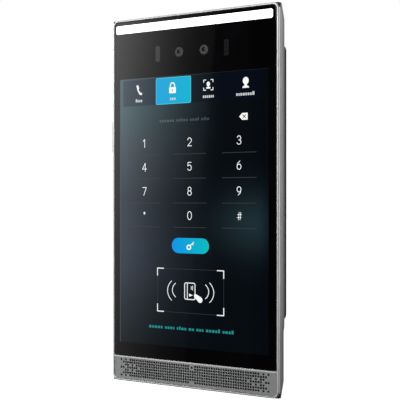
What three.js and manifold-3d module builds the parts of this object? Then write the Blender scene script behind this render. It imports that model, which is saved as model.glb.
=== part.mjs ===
// Wall-mounted video door station: a slim aluminium housing with a full-height touch glass, a perforated
// speaker strip below it, a deeper rear box for the electronics, and a wall bracket that it hooks onto.
// Millimetres, +Z up. The front faces -Y and y = 0 is the wall. Depths are counted from the front face.
import * as THREE from "three";
import { mergeVertices } from "three/addons/utils/BufferGeometryUtils.js";
import Module from "manifold-3d";

const wasm = await Module();
wasm.setup();

// Overall sizes
const unitWidth = 120.7;
const unitHeight = 237;
const housingDepth = 11.7;
const lowerStep = 1.05; // the housing is this much thinner below the rear box
const unitDepth = 22.5;

// Clearances
const faceGap = 0.1; // between large faces that are bonded or laid on each other
const filmGap = 0.05; // the same for thin films and seals
const fitGap = 0.3; // around anything that drops into a pocket
const threadGap = 0.3; // between a screw and its hole
const slideGap = 0.4; // around what moves

// Front frame
const rimFlat = 0.9;
const rimChamfer = 0.5;
const rimRadius = 4;
const rimWidth = rimFlat + rimChamfer;
const frameDepth = 2.6;
const ledgeWidth = 1.15; // the step inside the rim that carries the glass
const crossbarHeight = 1;
const grilleHeight = 13.9;

// Front glass and display stack
const glassRecess = 0.1;
const glassThickness = 1.2;
const gasketThickness = 0.2;
const touchThickness = 0.3;
const panelThickness = 1.1;
const backlightThickness = 1.85;
const panelWidth = 112.6;
const panelHeight = 182.3;
const chassisThickness = 1.2;

// Light strip, cameras and infrared lamps
const stripHeight = 5.4;
const stripDrop = 3.8; // from the top of the unit
const stripDepth = 1.9;
const ledBoardThickness = 1.2;
const ledCount = 16;
const ledSize = 2.8;
const lensSpread = 18.1; // between the two lenses
const lensDrop = 24.4;
const lensRadius = 3.1;
const lensPupil = 1.4;
const lampSpread = 50.1;
const lampWidth = 3.3;
const lampHeight = 10;
const cameraBody = 8.6;

// Speaker strip
const grilleThickness = 1;
const grilleRecess = 0.4;
const holePitch = 1.7;
const holeWidth = 0.9;
const holeMargin = 4; // plain strip at each end of the hole pattern
const holeRows = 7;
const micHoleWidth = 1.2;
const micInset = 2.2; // below the cross bar
const meshThickness = 0.2;
const speakerWidth = 44;
const speakerHeight = 11.2;
const speakerCentre = -28;
const speakerWall = 1.7;
const speakerDepth = 2.9;
const coneThickness = 0.4;

// Housing
const wall = 1.6;
const backWall = 1.5;
const rearRound = 2;
const endSlope = 9; // length of the sloped top and bottom ends
const endDrop = 3.8; // how much thinner the ends get
const sealDepth = 0.4; // room for the seal behind the frame
const backWindow = { width: 88, topMargin: 20.5, bottomMargin: 8.5 }; // margins to the ends of the rear box

// Rear box
const boxInset = 4.5; // from the side of the housing
const boxDrop = 22; // from the top of the unit
const boxHeight = 171;
const boxWall = 2.4;
const boxBack = 2;
const boxRadius = 4;
const boxChamfer = 1.5;
const boxEndChamfer = 3;
const boxSealDepth = 0.5;
const portWindowSize = { halfWidth: 32, rise: 16.5, height: 28 }; // rise: from the bottom of the rear box
const portSealWidth = 3;
const portSealInset = 1.6;

// Electronics
const boardThickness = 1.6;
const boardSize = { halfWidth: 41, topMargin: 24.5, bottomMargin: 12.5 }; // margins to the rear box's ends
const standoffHeight = 1.4;
const standoffRadius = 3;
const boardScrewInset = { side: 4, top: 6, bottom: 5 };
const jackSize = { left: 9, width: 16.2, rise: 6, height: 15.5, back: 21.9 }; // rise: above the window's sill
const jackSocket = { width: 12, height: 7.5, depth: 11.4 };
const terminal = { left: -30.9, width: 28.4, height: 8.5, depth: 10.2, ways: 8 };
const powerTerminalRise = 17.5;
const lockTerminalRise = 3.5;
const tamperRise = 12; // above the port window
const tamperTravel = 1.5;
const plungerRadius = 1.9;
const resetSpot = { x: 3.2, drop: 4 }; // below the port window's head
const resetTravel = 0.4;
const shieldRise = 48; // above the port window
const shieldHeight = 2.2;

// Side cover over the service socket
const coverThickness = 2.3;
const coverHeight = 20;
const coverDrop = 76.5; // from the top of the unit to the cover's middle
const coverFront = 3.2;
const coverBack = 9.4;
const socketHeight = 8.8;
const socketLength = 7.45;
const socketThickness = 3;
const socketCentre = 7.8; // depth of its middle

// Screws
const smallShank = 1.25;
const smallHead = 2.3;
const smallHeadHeight = 1.4;
const housingScrewInset = { side: 5.85, top: 17.5, bottom: 11.5 };
const coverScrewInset = { side: 6.35, top: 12.5, bottom: 10.5 }; // from the edges of the rear box
const coverHead = 2.6;
const securityShank = 1.5;
const securityHead = 2.8;
const securityDepth = 17.5;

// Wall bracket
const bracketSheet = 1.6;
const bracketGap = 0.4;
const bracketHalfWidth = 45;
const bracketInset = { top: 6.5, bottom: 4.5 }; // from the ends of the rear box
const lipHalfWidth = 16;
const lipFront = 13.5;
const lipGap = 0.8;
const hookX = 30;
const upperHookDrop = 34.5; // below the top of the rear box
const lowerHookRise = 16; // above the port window
const hookWidth = 8;
const hookNeck = 2;
const hookReach = 9; // height of the lip above the underside of the neck
const liftTravel = 8;
const wallSlot = { x: 40, topInset: 14, bottomInset: 12, width: 5, height: 12 };

// Worked out from the sizes above
const halfWidth = unitWidth / 2;
const halfHeight = unitHeight / 2;
const totalDepth = unitDepth + bracketGap + bracketSheet;
const glassHalfWidth = halfWidth - rimWidth;
const grilleBottom = -halfHeight + rimWidth;
const grilleTop = grilleBottom + grilleHeight;
const crossbarTop = grilleTop + crossbarHeight;
const glassTop = halfHeight - rimWidth;
const glassBack = glassRecess + glassThickness;
const ledgeFront = glassBack + gasketThickness + 2 * filmGap;
const panelFront = glassBack + filmGap + touchThickness + faceGap;
const panelBack = panelFront + panelThickness;
const panelBottom = crossbarTop + ledgeWidth + fitGap;
const backlightBack = panelBack + faceGap + backlightThickness;
const chassisFront = backlightBack + faceGap;
const chassisBack = chassisFront + chassisThickness;
const grilleBack = grilleRecess + grilleThickness;
const grilleLedgeFront = grilleBack + meshThickness + 2 * faceGap;
const housingFront = frameDepth + sealDepth;
const lowerDepth = housingDepth - lowerStep;
const cavityHalfWidth = halfWidth - wall;
const stripWidth = 2 * (glassHalfWidth - ledgeWidth - fitGap);
const holeColumns = 2 * Math.floor((glassHalfWidth - holeMargin) / holePitch);
const boxFront = housingDepth + boxSealDepth;
const boxHalfWidth = halfWidth - boxInset;
const boxTop = halfHeight - boxDrop;
const boxBottom = boxTop - boxHeight;
const portWindow = {
  left: -portWindowSize.halfWidth,
  right: portWindowSize.halfWidth,
  bottom: boxBottom + portWindowSize.rise,
  top: boxBottom + portWindowSize.rise + portWindowSize.height,
};
const coverCentre = halfHeight - coverDrop;
const board = {
  halfWidth: boardSize.halfWidth,
  top: boxTop - boardSize.topMargin,
  bottom: boxBottom + boardSize.bottomMargin,
};
const boardEar = {
  left: -cavityHalfWidth + socketLength + 2 * fitGap,
  bottom: coverCentre - coverHeight / 2,
  top: coverCentre + coverHeight / 2,
};
const boardScrewX = board.halfWidth - boardScrewInset.side;
const boardScrewPlaces = mirroredPlaces(
  boardScrewX,
  board.top - boardScrewInset.top,
  board.bottom + boardScrewInset.bottom,
);
const jackBottom = portWindow.bottom + jackSize.rise;
const tamperPlace = [0, portWindow.top + tamperRise];
const resetPlace = [resetSpot.x, portWindow.top - resetSpot.drop];
const housingScrewPlaces = mirroredPlaces(
  halfWidth - housingScrewInset.side,
  halfHeight - housingScrewInset.top,
  housingScrewInset.bottom - halfHeight,
);
const coverScrewPlaces = mirroredPlaces(
  boxHalfWidth - coverScrewInset.side,
  boxTop - coverScrewInset.top,
  boxBottom + coverScrewInset.bottom,
);
const bracketTop = boxTop - bracketInset.top;
const bracketBottom = boxBottom + bracketInset.bottom;
const hookPlaces = mirroredPlaces(hookX, boxTop - upperHookDrop, portWindow.top + lowerHookRise);
const boardFront = chassisBack + standoffHeight + faceGap;
const boardBack = boardFront + boardThickness;
const partsFront = boardBack + faceGap;
const bracketFront = unitDepth + bracketGap;
const micHeight = grilleTop - micInset;
const lensHeight = halfHeight - lensDrop;
const hookInner = unitDepth - boxBack - slideGap;

// ---- Shapes ----

function toSolid(geometry) {
  const bare = new THREE.BufferGeometry();
  bare.setAttribute("position", geometry.getAttribute("position"));
  bare.setIndex(geometry.index);
  const merged = mergeVertices(bare, 1e-4);
  return new wasm.Manifold(
    new wasm.Mesh({
      numProp: 3,
      vertProperties: merged.attributes.position.array,
      triVerts: new Uint32Array(merged.index.array),
    }),
  );
}

function join(...solids) {
  return solids.reduce((a, b) => a.add(b));
}

function cut(body, ...tools) {
  return tools.reduce((a, b) => a.subtract(b), body);
}

// A block between two x, two depths and two heights.
function block(x0, x1, d0, d1, z0, z1) {
  const g = new THREE.BoxGeometry(x1 - x0, d1 - d0, z1 - z0);
  g.translate((x0 + x1) / 2, (d0 + d1) / 2, (z0 + z1) / 2);
  return toSolid(g);
}

function rect(x0, x1, z0, z1, radius = 0) {
  const s = new THREE.Shape();
  if (radius === 0) {
    return s.moveTo(x0, z0).lineTo(x1, z0).lineTo(x1, z1).lineTo(x0, z1);
  }
  s.moveTo(x0 + radius, z0).lineTo(x1 - radius, z0);
  s.absarc(x1 - radius, z0 + radius, radius, -Math.PI / 2, 0);
  s.absarc(x1 - radius, z1 - radius, radius, 0, Math.PI / 2);
  s.absarc(x0 + radius, z1 - radius, radius, Math.PI / 2, Math.PI);
  s.absarc(x0 + radius, z0 + radius, radius, Math.PI, 1.5 * Math.PI);
  return s;
}

// An outline in x and z, given thickness from depth d0 to depth d1.
function slab(shape, d0, d1, curveSegments = 2) {
  const g = new THREE.ExtrudeGeometry(shape, { depth: d1 - d0, bevelEnabled: false, curveSegments });
  g.rotateX(Math.PI / 2).translate(0, d1, 0);
  return toSolid(g);
}

// The same with one edge broken, all round: the front edge, or the back one.
function edgedSlab(shape, d0, d1, edge, atBack, bevelSegments = 1, curveSegments = 2) {
  const depth = d1 - d0;
  const g = new THREE.ExtrudeGeometry(shape, {
    depth,
    bevelEnabled: true,
    bevelThickness: edge,
    bevelSize: edge,
    bevelOffset: -edge,
    bevelSegments,
    curveSegments,
  });
  g.rotateX(Math.PI / 2).translate(0, atBack ? d1 - edge : d0 + edge + depth, 0);
  const far = 2 * (halfHeight + halfWidth);
  const spare = atBack
    ? block(-far, far, d0 - 3 * edge, d0, -far, far)
    : block(-far, far, d1, d1 + 3 * edge, -far, far);
  return toSolid(g).subtract(spare);
}

// An outline in depth and z, given width from x0 to x1.
function sideSlab(points, x0, x1) {
  const shape = new THREE.Shape(points.map(([d, z]) => new THREE.Vector2(d, z)));
  const g = new THREE.ExtrudeGeometry(shape, { depth: x1 - x0, bevelEnabled: false });
  const turn = new THREE.Matrix4().makeBasis(
    new THREE.Vector3(0, 1, 0),
    new THREE.Vector3(0, 0, 1),
    new THREE.Vector3(1, 0, 0),
  );
  g.applyMatrix4(turn).translate(x0, 0, 0);
  return toSolid(g);
}

function rod(radius, d0, d1, x, z, segments = 12) {
  const g = new THREE.CylinderGeometry(radius, radius, d1 - d0, segments);
  g.translate(x, (d0 + d1) / 2, z);
  return toSolid(g);
}

// A turned piece about the depth axis; the profile is [radius, depth], from its front to its back.
function turned(profile, segments = 12) {
  return toSolid(new THREE.LatheGeometry(profile.map(([r, d]) => new THREE.Vector2(r, d)), segments));
}

// A screw with its tip at depth 0 and its head at the back, with a hexagon-sized recess.
function screw(shank, head, headHeight, length, segments = 10) {
  const recess = head * 0.5;
  const top = length + headHeight;
  return turned([
    [0, 0],
    [shank, 0],
    [shank, length],
    [head, length],
    [head, top],
    [recess, top],
    [recess, top - headHeight * 0.6],
    [0, top - headHeight * 0.6],
  ], segments);
}

function mirroredPlaces(x, ...heights) {
  return heights.flatMap((z) => [[-x, z], [x, z]]);
}

// ---- Front ----

function frontFrame() {
  const pocket = rect(-glassHalfWidth, glassHalfWidth, crossbarTop, glassTop, rimRadius - rimWidth);
  const inner = glassHalfWidth - ledgeWidth;
  const upper = rect(-inner, inner, crossbarTop + ledgeWidth, glassTop - ledgeWidth, 1);
  const strip = rect(-glassHalfWidth, glassHalfWidth, grilleBottom, grilleTop, 0.8);
  const shelf = 0.8;
  const lower = rect(-inner, inner, grilleBottom + shelf, grilleTop - shelf, 0.8);
  const outline = rect(-halfWidth, halfWidth, -halfHeight, halfHeight, rimRadius);
  let body = cut(
    edgedSlab(outline, 0, frameDepth, rimChamfer, false, 1, 4),
    slab(pocket, -1, ledgeFront),
    slab(upper, -1, frameDepth + 1),
    slab(strip, -1, grilleLedgeFront),
    slab(lower, -1, frameDepth + 1),
  );
  for (const [x, z] of housingScrewPlaces) {
    const low = z < 0;
    const front = low ? grilleLedgeFront : ledgeFront;
    const back = low ? lowerDepth - backWall - 0.75 : chassisFront - fitGap;
    const side = Math.sign(x);
    const near = x - side * 3;
    const outer = side * (inner + 0.2);
    const boss = block(Math.min(near, outer), Math.max(near, outer), front, back, z - 3, z + 3);
    const hole = rod(smallShank + threadGap, front + 0.8, back + 1, x, z);
    body = cut(join(body, boss), hole);
  }
  return body;
}

function frameSeal() {
  const outer = rect(-halfWidth + 0.05, halfWidth - 0.05, -halfHeight + 0.05, halfHeight - 0.05);
  outer.holes.push(rect(-cavityHalfWidth, cavityHalfWidth, -halfHeight + wall, halfHeight - wall));
  return slab(outer, frameDepth + filmGap, housingFront - filmGap);
}

function coverGlass() {
  const x = glassHalfWidth - faceGap;
  const outline = rect(-x, x, crossbarTop + faceGap, glassTop - faceGap, rimRadius - rimWidth);
  return slab(outline, glassRecess, glassBack);
}

function glassGasket() {
  const x = glassHalfWidth - faceGap;
  const ring = rect(-x, x, crossbarTop + faceGap, glassTop - faceGap, rimRadius - rimWidth);
  const inner = glassHalfWidth - ledgeWidth;
  ring.holes.push(rect(-inner, inner, crossbarTop + ledgeWidth, glassTop - ledgeWidth, 1));
  return slab(ring, glassBack + filmGap, glassBack + filmGap + gasketThickness);
}

function displayLayer(front, thickness, margin = 0) {
  const x = panelWidth / 2 - margin;
  const top = panelBottom + panelHeight;
  return slab(rect(-x, x, panelBottom + margin, top - margin, 1), front, front + thickness);
}

function lightBar() {
  const x = stripWidth / 2;
  const top = halfHeight - stripDrop;
  const front = glassBack + faceGap;
  return slab(rect(-x, x, top - stripHeight, top, 1.2), front, front + stripDepth);
}

function ledBoard() {
  const x = stripWidth / 2;
  const top = halfHeight - stripDrop;
  const front = glassBack + stripDepth + 3 * faceGap;
  const led = 0.6; // how far the LEDs stand off the board
  const middle = top - stripHeight / 2;
  let body = block(-x, x, front + led, front + led + ledBoardThickness - led, top - stripHeight, top);
  for (let i = 0; i < ledCount; i++) {
    const cx = ((i + 0.5) / ledCount - 0.5) * (stripWidth - ledSize);
    const half = ledSize / 2;
    body = body.add(block(cx - half, cx + half, front, front + led, middle - half, middle + half));
  }
  return body;
}

// ---- Cameras ----

function cameraLens() {
  const front = glassBack + faceGap;
  const back = chassisFront - 0.6;
  return turned([
    [0, front + 0.5],
    [lensPupil, front + 0.5],
    [lensPupil, front],
    [lensRadius, front],
    [lensRadius, back],
    [0, back],
  ], 20);
}

function cameraModule() {
  const half = cameraBody / 2;
  return edgedSlab(rect(-half, half, -half, half), chassisFront - 0.5, chassisBack + faceGap, 0.4, false);
}

function infraredLamp() {
  const x = lampWidth / 2;
  const z = lampHeight / 2;
  const front = glassBack + faceGap;
  const foot = 0.85;
  return join(
    slab(rect(-x, x, -z, z, 1), front, chassisBack + faceGap),
    block(-x - foot, x + foot, chassisFront, chassisBack + faceGap, -z - foot, z + foot),
  );
}

function cameraBoard() {
  const x = lampSpread / 2 + 6;
  const front = chassisBack + 2 * faceGap;
  return slab(rect(-x, x, lensHeight - 9, lensHeight + 9, 1), front, front + ledBoardThickness);
}

// ---- Speaker strip ----

// Which places of the grid stay closed: a pattern at both ends, and room for the microphone in the middle.
function isHole(row, column) {
  const fromEnd = Math.min(column, holeColumns - 1 - column);
  const fromTop = Math.min(row, holeRows - 1 - row);
  const closedEnds = [[1, 3], [0], [0, 1, 4, 6], [2, 8]];
  if (closedEnds[fromTop].includes(fromEnd)) return false;
  const middle = column === holeColumns / 2 - 1 || column === holeColumns / 2;
  return !(middle && (row < 2 || row === holeRows - 1));
}

function speakerGrille() {
  const x = glassHalfWidth - faceGap;
  const plate = rect(-x, x, grilleBottom + faceGap, grilleTop - faceGap, 0.7);
  const firstX = -(holeColumns - 1) * holePitch / 2;
  const firstZ = (grilleTop + grilleBottom) / 2 + 0.45 + (holeRows - 1) * holePitch / 2;
  const hole = (cx, cz, half) => block(cx - half, cx + half, 0, grilleBack + 1, cz - half, cz + half);
  let holes = hole(0, micHeight, micHoleWidth / 2);
  for (let row = 0; row < holeRows; row++) {
    for (let column = 0; column < holeColumns; column++) {
      if (!isHole(row, column)) continue;
      holes = holes.add(hole(firstX + column * holePitch, firstZ - row * holePitch, holeWidth / 2));
    }
  }
  return slab(plate, grilleRecess, grilleBack).subtract(holes);
}

function acousticMesh() {
  const x = glassHalfWidth - 0.6;
  const front = grilleBack + faceGap;
  return block(-x, x, front, front + meshThickness, grilleBottom + 0.5, grilleTop - 0.5);
}

const speakerFront = frameDepth + faceGap;
const speakerTop = grilleTop - 1.1;
const speakerMiddle = speakerTop - speakerHeight / 2;

function speakerOutline(margin) {
  const x = speakerWidth / 2 - margin;
  const z = speakerHeight / 2 - margin;
  return rect(speakerCentre - x, speakerCentre + x, speakerMiddle - z, speakerMiddle + z, z * 0.6);
}

function speakerGasket() {
  const ring = speakerOutline(0);
  ring.holes.push(speakerOutline(speakerWall));
  return slab(ring, grilleLedgeFront, frameDepth);
}

function speakerFrame() {
  const back = speakerFront + speakerDepth;
  const basket = slab(speakerOutline(0), speakerFront, back);
  const hollow = slab(speakerOutline(speakerWall), speakerFront - 1, back - 0.8);
  return cut(basket, hollow);
}

function speakerCone() {
  const front = speakerFront + slideGap;
  const dome = 0.35;
  const rim = slab(speakerOutline(speakerWall + fitGap), front + dome, front + dome + coneThickness);
  const crown = edgedSlab(speakerOutline(speakerWall + 1.3), front, front + dome + 0.1, dome, false);
  return join(rim, crown);
}

function voiceCoil() {
  const front = speakerFront + slideGap + 0.35 + coneThickness + filmGap;
  const outline = (x, z) => rect(
    speakerCentre - x,
    speakerCentre + x,
    speakerMiddle - z,
    speakerMiddle + z,
    z * 0.8,
  );
  const ring = outline(7, 2.6);
  ring.holes.push(outline(6, 1.6));
  return slab(ring, front, front + 0.45);
}

function speakerMagnet() {
  const front = speakerFront + speakerDepth + faceGap;
  const shape = rect(speakerCentre - 10, speakerCentre + 10, speakerTop - 7.4, speakerTop - 0.4, 1);
  return edgedSlab(shape, front, front + 1.9, 0.4, true);
}

function microphoneBoot() {
  const front = frameDepth + faceGap;
  return turned([
    [0.8, front],
    [3, front],
    [3, front + 2.9],
    [2.1, front + 2.9],
    [2.1, front + 0.7],
    [0.8, front + 0.7],
    [0.8, front],
  ]);
}

function microphone() {
  const front = frameDepth + faceGap + 0.8;
  return rod(2, front, front + 1.5, 0, 0);
}

// ---- Housing ----

// The housing seen from the side: full depth behind the screen, thinner below, and sloped at both ends.
function housingProfile(front, inset, thickness) {
  const end = halfHeight - inset;
  const slope = halfHeight - endSlope - inset / 4;
  const full = housingDepth - thickness;
  const low = lowerDepth - thickness;
  const drop = endDrop * (end - slope) / endSlope;
  return [
    [front, -end],
    [low - drop, -end],
    [low, -slope],
    [low, boxBottom - 3],
    [full, boxBottom - 1],
    [full, slope],
    [full - drop, end],
    [front, end],
  ];
}

function sideHousing() {
  const outline = rect(-halfWidth, halfWidth, -halfHeight, halfHeight);
  const shell = edgedSlab(outline, housingFront, housingDepth, rearRound, true, 3)
    .intersect(sideSlab(housingProfile(housingFront, 0, 0), -halfWidth, halfWidth));
  const hollowProfile = housingProfile(housingFront - 1, wall, backWall);
  const hollow = sideSlab(hollowProfile, -cavityHalfWidth, cavityHalfWidth);
  const window = backWindow.width / 2;
  let body = cut(
    shell,
    hollow,
    block(
      -window,
      window,
      housingFront,
      housingDepth + 1,
      boxBottom + backWindow.bottomMargin,
      boxTop - backWindow.topMargin,
    ),
  );
  for (const [x, z] of housingScrewPlaces) {
    const back = z < 0 ? lowerDepth : housingDepth;
    if (z > 0) body = body.add(rod(3.2, chassisBack + fitGap, back - 0.5, x, z));
    const hole = rod(smallShank + threadGap, chassisBack, back + 1, x, z);
    const seat = rod(smallHead + fitGap, back - 0.9, back + 1, x, z);
    body = cut(body, hole, seat);
  }
  for (const [x, z] of coverScrewPlaces) {
    body = body.subtract(rod(smallShank + threadGap, 5, housingDepth + 1, x, z));
  }
  // Ribs that carry the lower corners of the chassis plate
  for (const side of [-1, 1]) {
    const x = [side * (cavityHalfWidth - 4), side * (cavityHalfWidth + 0.5)].sort((a, b) => a - b);
    const ribBack = housingDepth - backWall + 0.5;
    const rib = block(x[0], x[1], chassisBack + fitGap, ribBack, panelBottom + 2, panelBottom + 12);
    body = body.add(rib);
  }
  const half = socketThickness / 2 + fitGap;
  const tall = socketHeight / 2 + 2 * fitGap;
  const port = block(
    -halfWidth - 1,
    -cavityHalfWidth + 1,
    socketCentre - half,
    socketCentre + half,
    coverCentre - tall,
    coverCentre + tall,
  );
  return cut(body, port);
}

function chassisPlate() {
  const x = cavityHalfWidth - fitGap;
  const top = lensHeight + 12;
  const lamps = lampSpread / 2 + 3;
  let body = cut(
    slab(rect(-x, x, panelBottom, top, 3), chassisFront, chassisBack),
    slab(rect(-lamps, lamps, lensHeight - 6.5, lensHeight + 6.8, 1), chassisFront - 1, chassisBack + 1),
  );
  for (const [px, pz] of boardScrewPlaces) {
    body = body.add(rod(standoffRadius, chassisBack - 0.2, chassisBack + standoffHeight, px, pz));
    body = body.subtract(rod(1 + threadGap, chassisFront + 0.4, boardBack, px, pz));
  }
  for (const [px, pz] of housingScrewPlaces.filter((place) => place[1] > 0)) {
    body = body.subtract(rod(smallShank + threadGap, chassisFront - 1, chassisBack + 1, px, pz));
  }
  return body;
}

// ---- Electronics ----

function readerAntenna() {
  const low = panelBottom + 5;
  return slab(rect(-30, 30, low, low + 50, 2), chassisBack + faceGap, chassisBack + faceGap + 0.6);
}

// The flat cable leaves the lower edge of the screen, turns round the chassis plate and runs up to the board.
function displayFlex() {
  const film = 0.3;
  const start = panelBack + faceGap;
  const back = boardFront - fitGap;
  const low = panelBottom - fitGap;
  const end = board.bottom + 6;
  return sideSlab([
    [start, low - film],
    [back, low - film],
    [back, end],
    [back - film, end],
    [back - film, low],
    [start, low],
  ], -15, 15);
}

function mainBoard() {
  let body = join(
    slab(rect(-board.halfWidth, board.halfWidth, board.bottom, board.top, 1.5), boardFront, boardBack),
    block(boardEar.left, 1 - board.halfWidth, boardFront, boardBack, boardEar.bottom, boardEar.top),
  );
  for (const [x, z] of boardScrewPlaces) {
    body = body.subtract(rod(1 + threadGap, boardFront - 1, boardBack + 1, x, z));
  }
  return body;
}

function processorShield() {
  const low = portWindow.top + shieldRise;
  return edgedSlab(rect(-14, 14, low, low + 30, 1), partsFront, partsFront + shieldHeight, 0.5, true);
}

function heatSpreader() {
  const front = partsFront + shieldHeight + 2 * faceGap;
  const low = portWindow.top + shieldRise - 10;
  const high = low + 50;
  let body = slab(rect(-20, 20, low, high, 1), front, front + 2);
  for (let x = -18; x <= 18; x += 6) {
    body = body.add(block(x - 0.6, x + 0.6, front + 1.8, front + 7.8, low + 1, high - 1));
  }
  return body;
}

function networkJack() {
  const { left, width, height, back } = jackSize;
  const middle = left + width / 2;
  const body = block(left, left + width, partsFront, back, jackBottom, jackBottom + height);
  const socket = block(
    middle - jackSocket.width / 2,
    middle + jackSocket.width / 2,
    back - jackSocket.depth,
    back + 1,
    jackBottom + 3,
    jackBottom + 3 + jackSocket.height,
  );
  const latch = block(
    middle - 2,
    middle + 2,
    back - jackSocket.depth,
    back + 1,
    jackBottom + 2 + jackSocket.height,
    jackBottom + 5.5 + jackSocket.height,
  );
  return cut(body, socket, latch);
}

function terminalBlock(bottom) {
  const right = terminal.left + terminal.width;
  const back = partsFront + terminal.depth;
  let body = block(terminal.left, right, partsFront, back, bottom, bottom + terminal.height);
  const pitch = terminal.width / terminal.ways;
  for (let i = 0; i < terminal.ways; i++) {
    const x = terminal.left + (i + 0.5) * pitch;
    body = body.subtract(block(x - 1.2, x + 1.2, back - 6, back + 1, bottom + 1.2, bottom + 4.2));
  }
  return body;
}

function lockRelay() {
  const low = portWindow.top + 2;
  return edgedSlab(rect(7, 22, low, low + 18), partsFront, partsFront + 9.9, 0.6, true);
}

function clockBattery() {
  return rod(8, partsFront, partsFront + 3.2, -14, portWindow.top + 17, 24);
}

const plungerFoot = partsFront + 3.7;

function tamperSwitch() {
  const [x, z] = tamperPlace;
  const bore = plungerFoot - tamperTravel - fitGap;
  return cut(
    block(x - 4, x + 4, partsFront, partsFront + 5.4, z - 4, z + 4),
    rod(plungerRadius + slideGap, bore, partsFront + 7, x, z, 16),
  );
}

function tamperPlunger() {
  const tip = totalDepth - slideGap;
  return turned([
    [0, plungerFoot],
    [plungerRadius, plungerFoot],
    [plungerRadius, tip - 0.8],
    [plungerRadius - 0.8, tip],
    [0, tip],
  ], 16);
}

function resetSwitch() {
  const [x, z] = resetPlace;
  return edgedSlab(rect(x - 3, x + 3, z - 3, z + 3), partsFront, partsFront + 3, 0.4, true);
}

function resetButton() {
  const foot = partsFront + 3 + resetTravel + faceGap;
  return turned([
    [0, foot],
    [1.6, foot],
    [1.6, foot + 7],
    [1.3, foot + 7.4],
    [0, foot + 7.4],
  ]);
}

// ---- Side cover ----

function serviceSocket() {
  const outer = -cavityHalfWidth + fitGap;
  const inner = boardEar.left - fitGap;
  const t = socketThickness / 2;
  const h = socketHeight / 2;
  const shell = 0.4;
  const mouth = [socketCentre - t + shell, socketCentre + t - shell];
  return cut(
    block(outer, inner, socketCentre - t, socketCentre + t, coverCentre - h, coverCentre + h),
    block(outer - 1, outer + 5, ...mouth, coverCentre - h + shell, coverCentre + h - shell),
  );
}

function portCover() {
  const inner = -halfWidth - fitGap;
  const outer = inner - coverThickness;
  const plugEnd = -cavityHalfWidth - slideGap;
  const low = coverCentre - coverHeight / 2;
  const t = socketThickness / 2;
  const h = socketHeight / 2 + fitGap;
  const edge = 0.6;
  const points = [
    [coverFront, low + edge],
    [coverFront + edge, low],
    [coverBack - edge, low],
    [coverBack, low + edge],
    [coverBack, low + coverHeight - edge],
    [coverBack - edge, low + coverHeight],
    [coverFront + edge, low + coverHeight],
    [coverFront, low + coverHeight - edge],
  ];
  return join(
    sideSlab(points, outer, inner),
    block(inner - 0.5, plugEnd, socketCentre - t, socketCentre + t, coverCentre - h, coverCentre + h),
  );
}

// ---- Rear box ----

function ringAround(hole, gap, width, front, back) {
  const at = (m) => rect(hole.left - m, hole.right + m, hole.bottom - m, hole.top + m, 1.5);
  const ring = at(gap + width);
  ring.holes.push(at(gap));
  return slab(ring, front, back);
}

function boxProfile() {
  return [
    [boxFront, boxBottom],
    [unitDepth - boxEndChamfer, boxBottom],
    [unitDepth, boxBottom + boxEndChamfer],
    [unitDepth, boxTop - boxEndChamfer],
    [unitDepth - boxEndChamfer, boxTop],
    [boxFront, boxTop],
  ];
}

function rearBox() {
  const outline = rect(-boxHalfWidth, boxHalfWidth, boxBottom, boxTop, boxRadius);
  const x = boxHalfWidth - boxWall;
  const inside = rect(-x, x, boxBottom + boxWall, boxTop - boxWall, boxRadius - boxWall);
  const inner = unitDepth - boxBack;
  let body = edgedSlab(outline, boxFront, unitDepth, boxChamfer, true)
    .intersect(sideSlab(boxProfile(), -boxHalfWidth, boxHalfWidth))
    .subtract(edgedSlab(inside, boxFront - 1, inner, 1, true));
  for (const [sx, sz] of coverScrewPlaces) {
    body = body.add(rod(4, boxFront, inner + 0.5, sx, sz));
    body = cut(
      body,
      rod(smallShank + threadGap, boxFront - 1, unitDepth + 1, sx, sz),
      rod(coverHead + fitGap, unitDepth - 2.4, unitDepth + 1, sx, sz),
    );
  }
  for (const [hx, hz] of hookPlaces) {
    body = hookPocket(body, hx, hz);
  }
  const securityBoss = block(-6, 6, boxFront, inner + 0.5, boxBottom + 0.5, boxBottom + 10);
  const grooveInset = portSealInset - faceGap;
  const grooveWidth = portSealWidth + 2 * faceGap;
  const sealGroove = ringAround(portWindow, grooveInset, grooveWidth, unitDepth - 1, unitDepth + 1);
  const portDepth = [inner - 1, unitDepth + 1];
  return cut(
    join(body, securityBoss),
    securityHole(),
    block(portWindow.left, portWindow.right, ...portDepth, portWindow.bottom, portWindow.top),
    sealGroove,
    rod(plungerRadius + slideGap + 0.1, inner - 1, unitDepth + 1, ...tamperPlace, 16),
  );
}

// A closed pocket behind each hook slot keeps the weather out of the box.
function hookPocket(body, x, z) {
  const inner = unitDepth - boxBack;
  const half = hookWidth / 2 + 0.5;
  const skin = 1.2;
  const hollowFront = hookInner - bracketSheet - slideGap;
  const low = z - liftTravel - 0.5;
  const high = z + hookReach + 1;
  const outer = half + skin;
  const pocket = block(x - outer, x + outer, hollowFront - skin, inner + 0.5, low - skin, high + skin);
  return cut(
    body.add(pocket),
    block(x - half, x + half, hollowFront, inner, low, high),
    block(x - half, x + half, inner - 0.5, unitDepth + 1, low, z + hookNeck + fitGap),
  );
}

function securityHole() {
  const g = new THREE.CylinderGeometry(securityShank + slideGap, securityShank + slideGap, 9, 12);
  g.rotateX(Math.PI / 2).translate(0, securityDepth, boxBottom + 3.5);
  return toSolid(g);
}

function coverSeal() {
  const x = boxHalfWidth - 0.4;
  const ring = rect(-x, x, boxBottom + 0.4, boxTop - 0.4, boxRadius - 0.4);
  const inset = boxWall - 0.1;
  const inner = boxHalfWidth - inset;
  ring.holes.push(rect(-inner, inner, boxBottom + inset, boxTop - inset, boxRadius - inset));
  return slab(ring, housingDepth + filmGap, boxFront - filmGap);
}

function portSeal() {
  const sealBack = unitDepth + bracketGap / 2;
  return ringAround(portWindow, portSealInset, portSealWidth, unitDepth - 1 + faceGap, sealBack);
}

// ---- Wall bracket ----

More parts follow.
